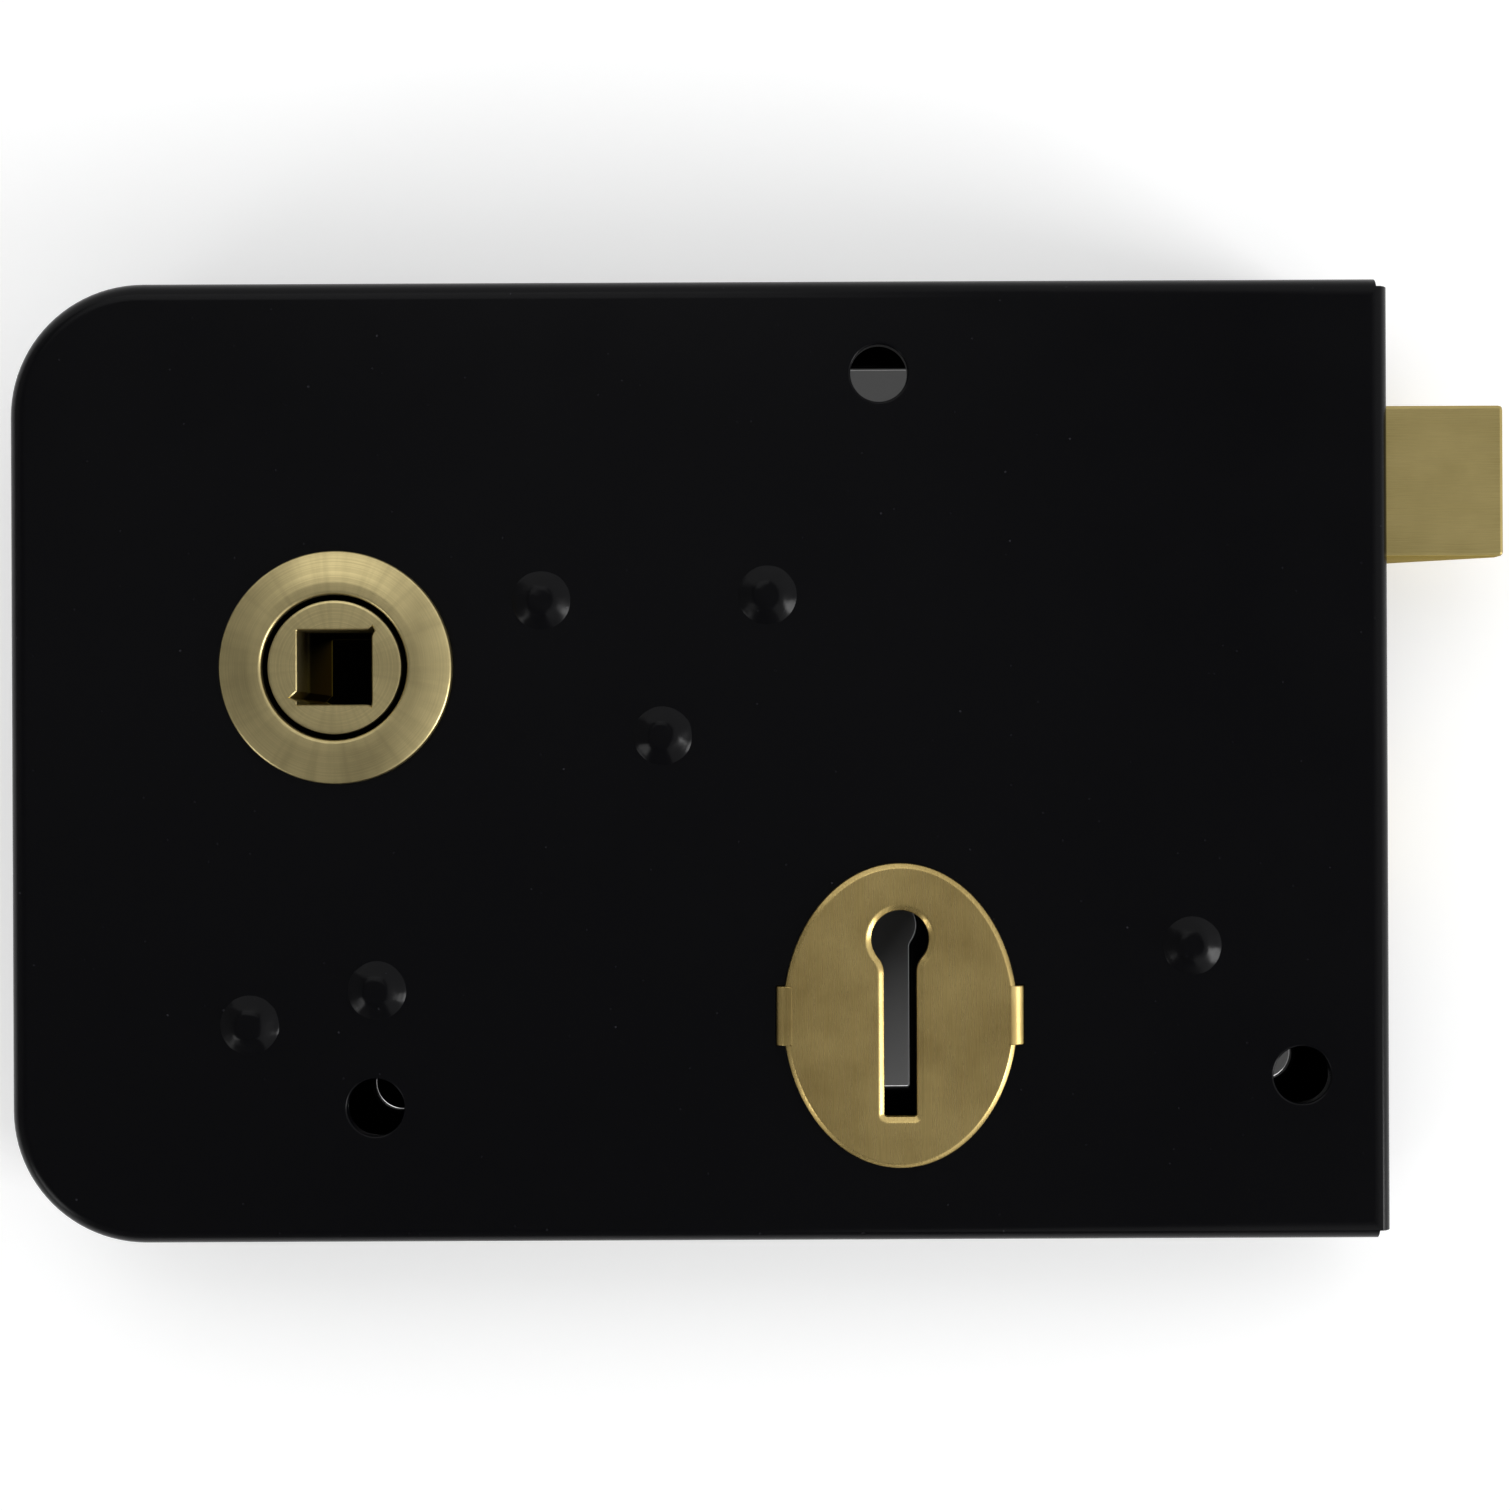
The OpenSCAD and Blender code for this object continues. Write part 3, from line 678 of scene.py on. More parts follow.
class Slot(Enum):
    """The record's material slots, each with its finish.

    The metals' lines are drawn wider than a tool's real marks, which would be too fine to show.
    """

    # Stoved paint on a pressed sheet: a flat, deep black whose folds carry the only light lines
    PAINTED = ("painted_steel", Paint(
        "satin black paint on pressed steel", "#020204", "#28282c", (0.22, 0.26), 0.8, 0.10, 0.5
    ))
    # Brass off the lathe, not lacquered: pale gold in fine rings, streaked by wear, black in the bore and round
    # the hub with grease and painted shade
    TURNED = ("turned_brass", TurnedMetal(
        "turned brass", "#cbbb88", "#9d9067", 0.16, (0.28, 0.44), 0.5
    ))
    # Brass drawn over a belt: a warm sheet with upright hairlines that spread its highlights sideways
    BRUSHED = ("brushed_brass", Metal(
        "brushed brass", "#cdb577", "#a58e58", 0.16, (0.22, 0.38), 0.5, Grain.UPRIGHT
    ))
    # Brass bar as drawn: a duller, greener gold with faint lines along its length
    BOLT = ("bolt_brass", Metal("drawn brass", "#b3a26d", "#9c8d5b", 0.09, (0.34, 0.5), 0.4))
    # Zinc plate on steel: a cool pale grey with a soft, broken shine
    ZINC = ("zinc_steel", Metal("zinc-plated steel", "#b9bcc0", "#9a9da2", 0.12, (0.35, 0.5), 0.3))
    # Spring wire and strip: a darker steel grey, smooth from the die
    SPRING = ("spring_steel", Metal("drawn spring steel", "#80848a", "#63666b", 0.06, (0.25, 0.4), 0.3))

    def __init__(self, slot: str, finish: Paint | Metal) -> None:
        """Keeps the slot's name in the record and its finish."""
        self.slot = slot
        self.finish = finish

    def material(self) -> Material:
        """The slot's material, made the first time it is asked for."""
        return bpy.data.materials.get(self.finish.name) or self.finish.material()

    def dress(self, obj: Piece) -> None:
        """Puts the finish on a piece.

        Args:
            obj: the piece.
        """
        obj.data.materials.clear()
        obj.data.materials.append(self.material())


def fit(obj: Piece, slot: Slot, body: str, *nodes: str) -> None:
    """Dresses a new piece, lets it ride on a body and hides the solids that it stands for.

    Args:
        obj: the piece.
        slot: its finish.
        body: the body that it rides on.
        *nodes: the solids that it replaces.
    """
    slot.dress(obj)
    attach(obj, body)
    if nodes:
        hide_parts(*nodes)
    LOG.info("made %s: %d faces, rides on %s", obj.name, len(obj.data.polygons), body)


def dress_nodes(slot: Slot, *nodes: str) -> None:
    """Puts a finish on solids that keep their own shape.

    Args:
        slot: the finish.
        *nodes: the solids' names.
    """
    for node in nodes:
        slot.dress(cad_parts[node])
        LOG.info("dressed %s in %s", node, slot.finish.name)


# Geometry nodes


def node_group(name: str, inputs: dict[str, str]) -> tuple[Tree, Node, Node]:
    """Starts a geometry node group.

    Args:
        name: the group's name.
        inputs: socket types by input name, besides the geometry.

    Returns:
        The group, its input node and its output node.
    """
    group = bpy.data.node_groups.new(name, "GeometryNodeTree")
    group.interface.new_socket("Geometry", in_out="INPUT", socket_type="NodeSocketGeometry")
    group.interface.new_socket("Geometry", in_out="OUTPUT", socket_type="NodeSocketGeometry")
    for key, kind in inputs.items():
        group.interface.new_socket(key, in_out="INPUT", socket_type=kind)
    return group, group.nodes.new("NodeGroupInput"), group.nodes.new("NodeGroupOutput")


def end_group(group: Tree, shape: Socket, start: Node, end: Node) -> None:
    """Makes a group's instances real, smooths them, gives them its material and puts them out.

    Args:
        group: the group.
        shape: what it has made.
        start: its input node, with a Material.
        end: its output node.
    """
    real = add_node(group, "GeometryNodeRealizeInstances", (shape,))
    even = add_node(group, "GeometryNodeSetShadeSmooth", {"Geometry": real})
    finish = {"Geometry": even, "Material": start.outputs["Material"]}
    feed(end, (add_node(group, "GeometryNodeSetMaterial", finish),))


def grow(name: str, points: Sequence[Vector], group: Tree, values: dict[str, object]) -> Piece:
    """Runs a node group on some points and keeps the mesh that it makes.

    Args:
        name: the piece's name.
        points: where the points lie.
        group: the node group.
        values: the group's inputs by name.

    Returns:
        The piece, with no modifier left on it.
    """
    mesh = bpy.data.meshes.new(name)
    mesh.from_pydata([tuple(p) for p in points], [], [])
    obj = put(name, mesh)
    modifier = obj.modifiers.new(name, "NODES")
    modifier.node_group = group
    for item in group.interface.items_tree:
        if item.in_out == "INPUT" and item.name in values:
            modifier[item.identifier] = values[item.name]
    bake(obj)
    return obj


# Sub-assemblies


@dataclass
class Case:
    """The pressed case and its cover."""

    body: str = "case"
    edge_r: float = 0.25
    foot_r: float = 0.2
    corner_steps: int = 24
    post_hole_r: float = 1.6
    bush_hole_r: float = 9.0
    keyhole: Point = (3.6, 4.5, 19.7)
    tab_slot_out: float = 12.95
    tab_slot_half: float = 0.55
    tab_slot_z: Flat = (-30.9, -24.3)
    tab_slot_r: float = 0.2
    way_r: float = 0.4
    spare: float = 1.0
    cover_gap: float = 0.2
    cover_corner_r: float = 0.3
    cover_bore_r: float = 7.3
    cover_slot: Flat = (7.0, 3.6)
    cover_keyhole: Point = (3.1, 4.5, 18.8)
    screw_r: float = 1.55
    screw_sink: tuple[Flat, ...] = ((0.0, SHEET), (-1.4, 0.1), (-1.4, 0.0))

    def build(self) -> None:
        """Makes the case and the cover, and dresses the posts, screws and brackets inside."""
        self.shell()
        self.cover()
        dress_nodes(Slot.PAINTED, "cover_pillars", "guide_studs", "lever_post")
        dress_nodes(Slot.ZINC, "cover_screws", "lever_spacers", "spring_stop")

    def through(self, outline: list[Flat]) -> Cut:
        """A punched hole in the face, with its rolled edge."""
        r = self.edge_r
        return outline, arc((-r, CASE_D - r), r, 90, 0) + [(0.0, CASE_D - SHEET)]

    def hidden(self, outline: list[Flat]) -> Cut:
        """A plain hole in the face, under a piece that covers it."""
        return outline, [(0.0, CASE_D), (0.0, CASE_D - SHEET)]

    def face_holes(self) -> list[Cut]:
        """Draws every hole in the face.

        Returns:
            Each hole's line, and the section of its edge.
        """
        half, (z0, z1), r = self.tab_slot_half, self.tab_slot_z, self.tab_slot_r
        middles = (KEY[0] - self.tab_slot_out, KEY[0] + self.tab_slot_out)
        covered = [circle(at, self.post_hole_r, 24) for at in POSTS]
        covered += [circle(SPINDLE, self.bush_hole_r), keyhole(*self.keyhole)]
        covered += [round_box(x - half, z0, x + half, z1, (r,) * 4, 2) for x in middles]
        screws = [self.through(circle(at, FIX_R)) for at in (TOP_FIX, RIGHT_FIX, LEFT_FIX)]
        return screws + [self.hidden(outline) for outline in covered]

    def bolt_way(self, builder: MeshBuilder, z0: float, z1: float) -> list[Ring]:
        """The opening in the forend for a bolt.

        Args:
            builder: the shell's builder.
            z0: the bolt's lower side.
            z1: the bolt's upper side.

        Returns:
            The opening's rings, from the outside in.
        """
        g, r, x = SLIDE_GAP, self.edge_r, CASE_W / 2
        outline = round_box(z0 - g, BOLT_H0 - g, z1 + g, BOLT_H1 + g, (self.way_r,) * 4, 4)
        section = arc((-r, x - r), r, 90, 0) + arc((-r, x - SHEET + r), r, 0, -90)
        rings = builder.swept(outline, led(section), on_forend, hole=True)
        builder.strips(rings)
        return rings

    def notches(self) -> Piece:
        """Makes the two blocks that are cut away at the forend's ends.

        Returns:
            The blocks, as one object.
        """
        x, z, past = CASE_W / 2, CASE_H / 2, self.spare
        x0, x1, h0, h1 = x - NOTCH[0], x + 2 * past, -past, CASE_D + past
        block = [(x0, h0), (x1, h0), (x1, h1), (x0, h1)]
        cutter = MeshBuilder()
        for sign in (-1, 1):
            cutter.prism(block, sign * (z - NOTCH[1]), sign * (z + 2 * past))
        return cutter.done("notches")

    def shell(self) -> None:
        """The face with its folded walls and forend, notched at the forend's two ends."""
        builder = MeshBuilder()
        x, z, rim = CASE_W / 2, CASE_H / 2, self.foot_r
        wall = CASE_D - SHEET - (BEND_R - SHEET)
        outline = round_box(-x, -z, x, z, (CORNER_R, 0, 0, CORNER_R), self.corner_steps)
        fold = [*arc((-BEND_R, wall), BEND_R, 90, 0, 10), (0.0, wall - LEAD)]
        foot = [
            (0.0, rim + LEAD), *arc((-rim, rim), rim, 0, -90, 3),
            *arc((rim - SHEET, rim), rim, -90, -180, 3), (-SHEET, rim + LEAD),
        ]
        inner = [(-SHEET, wall - LEAD), *arc((-BEND_R, wall), BEND_R - SHEET, 0, 90, 3)]
        # The forend's outer and inner sides are left open, and then filled round the bolts' ways
        side = self.corner_steps + 1
        forend = ((len(fold), 0), (len(fold) + len(foot), -1))
        skip = [(row, side) for row, _ in forend]
        rings = builder.plate(outline, fold + foot + inner, self.face_holes(), skip)
        ways = [self.bolt_way(builder, *span) for span in (LATCH_Z, DEAD_Z)]
        for row, way_ring in forend:
            upper, lower = rings[row], rings[row + 1]
            border = [upper[side], upper[side + 1], lower[side + 1], lower[side]]
            builder.cap(border, *[way[way_ring] for way in ways])
        piece = builder.done("pressed_case", cutter=self.notches())
        fit(piece, Slot.PAINTED, self.body, "case_shell")

    def cover(self) -> None:
        """The flat back, with punched holes: round where the punch went in, sharp behind."""
        builder = MeshBuilder()
        gap, r = SHEET + self.cover_gap, self.edge_r
        x, z = CASE_W / 2 - gap, CASE_H / 2 - gap
        front = arc((-r, SHEET - r), r, 90, 0)
        edge, punched = front + arc((-r, r), r, 0, -90), [*front, (0.0, 0.0)]
        (sx, sz), (wide, high) = TOP_FIX, self.cover_slot
        slot = round_box(sx - wide, sz - high, sx + wide, sz + high, (self.way_r,) * 4, 4)
        lines = [circle(SPINDLE, self.cover_bore_r), slot, keyhole(*self.cover_keyhole)]
        lines += [circle(at, FIX_R) for at in (RIGHT_FIX, LEFT_FIX)]
        holes = [(line, punched) for line in lines]
        holes += [(circle(at, self.screw_r, 48), list(self.screw_sink)) for at in PILLARS]
        radii = (CORNER_R - gap, self.cover_corner_r, self.cover_corner_r, CORNER_R - gap)
        builder.plate(round_box(-x, -z, x, z, radii, self.corner_steps), edge, holes)
        fit(builder.done("back_cover"), Slot.PAINTED, self.body, "cover_plate")


@dataclass
class RivetHeads:
    """The painted-over domes on the six riveted posts."""

    body: str = "case"
    section: tuple[Flat, ...] = (
        (0.0, 1.06), (0.5, 1.06), (1.0, 1.05), (1.35, 1.02), (1.7, 0.86), (2.0, 0.68), (2.3, 0.49),
        (2.6, 0.3), (2.8, 0.15), (2.95, 0.06), (3.15, -0.02), (0.0, -0.02),
    )
    least_size: float = 0.985
    seed: int = 4
    dent: float = 0.22
    blow_mm: float = 1.6

    def group(self) -> Tree:
        """Makes the nodes that put a head on each point, and turn, size and dent it by chance.

        Returns:
            The node group.
        """
        group, start, end = node_group("riveted heads", {
            "Head": "NodeSocketObject", "Least size": "NodeSocketFloat", "Seed": "NodeSocketInt",
            "Dent": "NodeSocketFloat", "Material": "NodeSocketMaterial",
        })
        given = start.outputs
        head = {"Object": given["Head"], "As Instance": True}
        sizes = {2: given["Least size"], 3: 1.0, "Seed": given["Seed"]}
        turns = {0: (0.0, 0.0, 0.0), 1: (0.0, math.tau, 0.0), "Seed": given["Seed"]}
        heads = add_node(group, "GeometryNodeInstanceOnPoints", {
            "Points": given["Geometry"],
            "Instance": add_node(group, "GeometryNodeObjectInfo", head, "Geometry"),
            "Rotation": add_node(group, "FunctionNodeRandomValue", turns, data_type="FLOAT_VECTOR"),
            "Scale": add_node(group, "FunctionNodeRandomValue", sizes, 1, data_type="FLOAT"),
        })
        real = add_node(group, "GeometryNodeRealizeInstances", (heads,))
        place = add_node(group, "GeometryNodeInputPosition", {})
        blows = {"Vector": place, "Scale": per_metre(self.blow_mm), "Detail": 1.0}
        depth = (add_node(group, NOISE, blows), given["Dent"])
        out = add_node(group, MATH, depth, operation="MULTIPLY")
        normal = add_node(group, "GeometryNodeInputNormal", {})
        offset = add_node(group, VECTOR, {0: normal, "Scale": out}, operation="SCALE")
        dented = add_node(group, "GeometryNodeSetPosition", {"Geometry": real, "Offset": offset})
        end_group(group, dented, start, end)
        return group

    def build(self) -> None:
        """Makes the six heads as one piece."""
        dome = MeshBuilder()
        dome.turned((0.0, 0.0), self.section, 64)
        source = dome.done("riveted_head")
        piece = grow("riveted_heads", [on_face(*at, CASE_D) for at in POSTS], self.group(), {
            "Head": source, "Least size": self.least_size, "Seed": self.seed, "Dent": self.dent * MM,
            "Material": Slot.PAINTED.material(),
        })
        bpy.data.objects.remove(source)
        fit(piece, Slot.PAINTED, self.body)


@dataclass
class SpindleBush:
    """The turned ring round the follower: a shallow slope, a flat land and a sunk mouth."""

    body: str = "case"
    top: float = CASE_D + 2.0
    fall: float = 0.8
    swell: float = 1.3
    slope_r: float = 12.33
    slope_w: float = 3.33
    slope_steps: int = 14
    edge_r: float = 0.35
    land_r: float = 8.3
    mouth_edge_r: float = 0.45
    mouth_r: float = 7.85
    mouth_depth: float = 3.2
    neck: tuple[Flat, ...] = ((7.3, 18.9), (9.0, 18.9), (10.2, 19.4), (10.2, 20.4), (9.0, 20.4), (9.0, CASE_D))

    def build(self) -> None:
        """Turns the ring, from the neck behind the face round to the mouth."""
        top, r, mouth = self.top, self.edge_r, self.mouth_edge_r
        shares = [i / self.slope_steps for i in range(1, self.slope_steps + 1)]
        section = [*self.neck, (SPINDLE_RIM, CASE_D)]
        section += arc((SPINDLE_RIM - r, top - self.fall - r), r, 0, 72)
        section += [(self.slope_r - self.slope_w * t, top - self.fall * (1 - t) ** self.swell) for t in shares]
        section += arc((self.land_r, top - mouth), mouth, 90, 180, 6)
        section += [(radius, top - self.mouth_depth) for radius in (self.mouth_r, self.neck[0][0])]
        builder = MeshBuilder()
        builder.turned(SPINDLE, section, 192)
        fit(builder.done("spindle_bush_turned"), Slot.TURNED, self.body, "spindle_bush")


@dataclass
class Escutcheon:
    """The oval plate round the keyhole, with two side tabs that are bent back into the face."""

    body: str = "case"
    middle: Flat = (KEY[0], KEY[1] - 8.3)
    half: Flat = (12.7, 16.5)
    top: float = CASE_D + 1.1
    keyhole: Point = (3.1, 3.5, 19.2)
    neck_r: float = 2.5
    hole_edge: tuple[Flat, ...] = ((-0.66, 0.0), (-0.5, 0.06), (-0.06, 0.36), (0.0, 0.5))
    rim_edge: tuple[Flat, ...] = ((-0.55, 0.0), (-0.46, 0.04), (-0.07, 0.37), (0.0, 0.5))
    tab_half: float = 3.2
    tab_bevel: float = 0.12
    gap_x: Flat = (11.7, 14.0)
    spare: float = 1.0

    def edge(self, falls: Sequence[Flat]) -> list[Flat]:
        """An edge's section, from its steps out of the metal and down from the top."""
        return [*((out, self.top - fall) for out, fall in falls), (0.0, CASE_D)]

    def tab(self) -> list[Flat]:
        """A tab's section, measured out from the plate's middle: over its bend and into the face."""
        top = self.top
        return [
            (11.0, top - 0.3), *arc((11.7, top - 2.02), 2.0, 90, 42, 6), *arc((12.9, top - 1.1), 0.5, 30, 0, 3),
            (13.4, 20.0), (12.5, 20.0), (12.5, top - 1.2), (11.0, top - 0.9),
        ]

    def build(self) -> None:
        """Makes the plate, with a gap for each tab, and the tabs."""
        (x, z), (wide, high) = self.middle, self.half
        (x0, x1), h0, h1 = self.gap_x, CASE_D - self.spare, self.top + self.spare
        plate, tabs, gaps = MeshBuilder(), MeshBuilder(), MeshBuilder()
        oval = [(x + wide * u, z + high * v) for u, v in circle((0.0, 0.0), 1.0, 144)]
        hole = (keyhole(*self.keyhole, neck_r=self.neck_r), self.edge(self.hole_edge))
        plate.plate(oval, self.edge(self.rim_edge), [hole])
        for builder, section in ((tabs, self.tab()), (gaps, [(x0, h0), (x1, h0), (x1, h1), (x0, h1)])):
            for sign in (-1, 1):
                placed = [(x + sign * out, h) for out, h in section]
                builder.prism(placed, z - self.tab_half, z + self.tab_half)
        piece = plate.done("escutcheon_plate", cutter=gaps.done("tab_gaps"))
        fit(piece, Slot.BRUSHED, self.body, "key_escutcheon")
        fit(tabs.done("escutcheon_tabs", bevel=self.tab_bevel), Slot.BRUSHED, self.body)


@dataclass
class Follower:
    """The turned hub that the spindle passes through, with the two horns that draw the latch in."""

    body: str = "follower"
    half: float = 4.05
    front: float = 23.6
    pin: Flat = (6.5, 14.0)
    horn_past: float = 2.0
    horn_start: float = 7.0
    horn_sides: Flat = (-7.85, -2.85)
    horn_edges_h: Flat = (11.6, 14.6)
    horn_r: float = 0.3

    def square(self) -> list[Flat]:
        """Draws the broached square, with the tears that the broach left at three corners.

        Returns:
            The outline's points.
        """
        a = self.half
        corners = [
            [(-a, -a + 1.5), (-a - 0.75, -a + 0.8), (-a - 0.05, -a + 0.45), (-a, -a)],
            [(a - 0.5, -a), (a - 0.1, -a - 0.2), (a, -a + 0.3)],
            [(a, a - 0.7), (a + 0.3, a - 0.1), (a + 0.05, a + 0.4), (a - 0.3, a + 0.15), (a - 0.5, a)],
            [(-a + 0.12, a), (-a, a - 0.12)],
        ]
        return [(SPINDLE[0] + x, SPINDLE[1] + z) for corner in corners for x, z in corner]

    def horn(self, sign: int) -> list[Flat]:
        """Draws a horn that reaches past one of the latch's pins.

        Args:
            sign: 1 for the upper horn, -1 for the lower one.

        Returns:
            The outline's points.
        """
        across, up = self.pin
        lean, length = math.atan2(up, across), math.hypot(up, across) + self.horn_past
        c, s = math.cos(lean), math.sin(lean)
        low, high = self.horn_sides
        points = [(self.horn_start, low), (length, low), (length, high), (self.horn_start, high)]
        placed = [(SPINDLE[0] + (x * c - y * s), SPINDLE[1] + sign * (x * s + y * c)) for x, y in points]
        return placed if sign > 0 else placed[::-1]

    def build(self) -> None:
        """Makes the hub with its square and horns."""
        builder = MeshBuilder()
        f, r, (low, high) = self.front, self.horn_r, self.horn_edges_h
        section = led([
            (7.0, f), (7.17, f - 0.06), (7.25, f - 0.2), (7.25, 18.6), (6.5, 18.6), (6.5, 14.9),
            (9.0, 14.9), (9.0, 1.9), (7.25, 1.9), (7.25, 0.3), (7.05, 0.1),
        ])
        broached = led([(-0.12, f), (0.0, f - 0.14), (0.0, 0.25), (-0.12, 0.1)])
        lines = [(circle(SPINDLE, radius, 128), h) for radius, h in section]
        outer = [builder.ring([on_face(x, z, h) for x, z in line]) for line, h in lines]
        bore = builder.swept(self.square(), broached, on_face, hole=True)
        builder.strips(outer)
        builder.strips(bore)
        builder.cap(outer[0], bore[0])
        builder.cap(outer[-1], bore[-1])
        edge = arc((-r, high), r, 90, 0, 3) + arc((-r, low), r, 0, -90, 3)
        for sign in (1, -1):
            builder.plate(self.horn(sign), edge)
        fit(builder.done("follower_hub"), Slot.TURNED, self.body, "follower")


@dataclass
class Latch:
    """The bevelled latch with its tail and spring."""

    body: str = "latch"
    back: float = 50.0
    seat_end: float = 66.0
    heel: float = 75.5
    tip: float = 88.5
    bevel: float = 0.45
    spring_x: Flat = (12.6, 49.4)
    spring_h: float = 9.8
    turns: float = 11.0
    coil_r: float = 4.0
    wire_r: float = 0.5

    def build(self) -> None:
        """Makes the head and the spring, and dresses the rest."""
        self.head()
        self.spring()
        dress_nodes(Slot.ZINC, "latch_tail", "latch_drive_pins", "latch_rivets", "latch_spring_rod")

    def head(self) -> None:
        """The brass head, bevelled on the side of the door, with a seat for its tail."""
        builder = MeshBuilder()
        seat = BOLT_H1 - TAIL
        builder.prism([
            (self.back, BOLT_H0), (self.heel, BOLT_H0), (self.tip, seat), (self.tip, BOLT_H1),
            (self.seat_end, BOLT_H1), (self.seat_end, seat), (self.back, seat),
        ], *LATCH_Z)
        fit(builder.done("latch_bolt_head", bevel=self.bevel), Slot.BOLT, self.body, "latch_head")

    def wire(self) -> Tree:
        """Makes the nodes that wind a wire along the lock.

        Returns:
            The node group.
        """
        group, start, end = node_group("wire spring", {
            "Turns": "NodeSocketFloat", "Coil radius": "NodeSocketFloat", "Length": "NodeSocketFloat",
            "Wire radius": "NodeSocketFloat", "Start": "NodeSocketVector", "Material": "NodeSocketMaterial",
        })
        given = start.outputs
        coil = add_node(group, "GeometryNodeCurveSpiral", {
            "Resolution": 40, "Rotations": given["Turns"], "Height": given["Length"],
            "Start Radius": given["Coil radius"], "End Radius": given["Coil radius"],
        })
        laid = add_node(group, "GeometryNodeTransform", {
            "Geometry": coil, "Translation": given["Start"], "Rotation": (0.0, math.pi / 2, 0.0),
        })
        ring = add_node(group, "GeometryNodeCurvePrimitiveCircle", {
            "Resolution": 12, "Radius": given["Wire radius"],
        })
        tube = add_node(group, "GeometryNodeCurveToMesh", {
            "Curve": laid, "Profile Curve": ring, "Fill Caps": True,
        })
        end_group(group, tube, start, end)
        return group

    def spring(self) -> None:
        """The wire spring behind the head; in the lock it shortens as the latch goes in, and this piece rides
        on the latch at full length.
        """
        x0, x1 = self.spring_x
        axis = on_face(x0, sum(LATCH_Z) / 2, self.spring_h)
        piece = grow("latch_coil_spring", [axis], self.wire(), {
            "Turns": self.turns, "Coil radius": self.coil_r * MM, "Length": (x1 - x0) * MM,
            "Wire radius": self.wire_r * MM, "Start": axis, "Material": Slot.SPRING.material(),
        })
        fit(piece, Slot.SPRING, self.body, "latch_spring")
        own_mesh(piece)


@dataclass
class DeadBolt:
    """The dead bolt that the key throws, and the two levers that guard it."""

    body: str = "dead_bolt"
    back: float = 45.9
    slot_end: float = 59.9
    face: float = 74.9
    slot_h: Flat = (8.4, 10.9)
    bevel: float = 0.4
    levers: tuple[tuple[str, float, float], ...] = (("front_lever", 6.2, 8.0), ("rear_lever", 4.0, 5.8))
    leaf_root: Flat = (-39.0, -21.0)
    leaf_tip: Flat = (-48.9, -24.5)
    leaf_half: float = 0.3
    leaf_edge: float = 0.05
    leaf_steps: int = 14
    leaf_bend: tuple[int, int] = (4, 13)

    def build(self) -> None:
        """Makes the head and the levers' springs, and dresses the rest."""
        self.head()
        dress_nodes(Slot.ZINC, "dead_bolt_tail", "dead_bolt_rivets", "dead_bolt_stump")
        dress_nodes(Slot.ZINC, "front_lever", "rear_lever")
        for lever, h0, h1 in self.levers:
            self.leaf(lever, h0, h1)

    def head(self) -> None:
        """The brass head, slotted from behind for its tail."""
        builder = MeshBuilder()
        x0, x1, x2 = self.back, self.slot_end, self.face
        h0, h1 = self.slot_h
        builder.prism([
            (x0, BOLT_H0), (x2, BOLT_H0), (x2, BOLT_H1), (x0, BOLT_H1), (x0, h1), (x1, h1), (x1, h0), (x0, h0),
        ], *DEAD_Z)
        fit(builder.done("dead_bolt_block", bevel=self.bevel), Slot.BOLT, self.body, "dead_bolt_head")

    def leaf(self, lever: str, h0: float, h1: float) -> None:
        """A lever's flat spring, made straight at rest: its root is in the lever, its tip on a pillar; in the
        lock it bends as the lever lifts.

        Args:
            lever: the body that holds its root.
            h0: height of its back edge.
            h1: height of its front edge.
        """
        root, tip, edge, steps = Vector(self.leaf_root), Vector(self.leaf_tip), self.leaf_edge, self.leaf_steps
        line = [root.lerp(tip, i / steps) for i in range(steps + 1)]
        across = (tip - root).orthogonal().normalized() * self.leaf_half
        outline = [tuple(p - across) for p in line] + [tuple(p + across) for p in reversed(line)]
        builder = MeshBuilder()
        builder.plate(outline, [(-edge, h1), (0.0, h1 - edge), (0.0, h0 + edge), (-edge, h0)])
        piece = builder.done(f"{lever}_leaf_spring")
        Slot.SPRING.dress(piece)
        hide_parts(f"{lever}_spring")
        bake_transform(piece)
        LOG.info("made %s: it bends between %s and the case", piece.name, lever)


@dataclass(frozen=True)
class Patch:
    """A part of the table: its place in millimetres, its colour, and how much it shines where it is seen."""

    at: Flat
    half: Flat
    colour: str
    glow: float

    def shine(self) -> Colour:
        """The grey light that it gives off."""
        return self.glow, self.glow, self.glow, 1.0


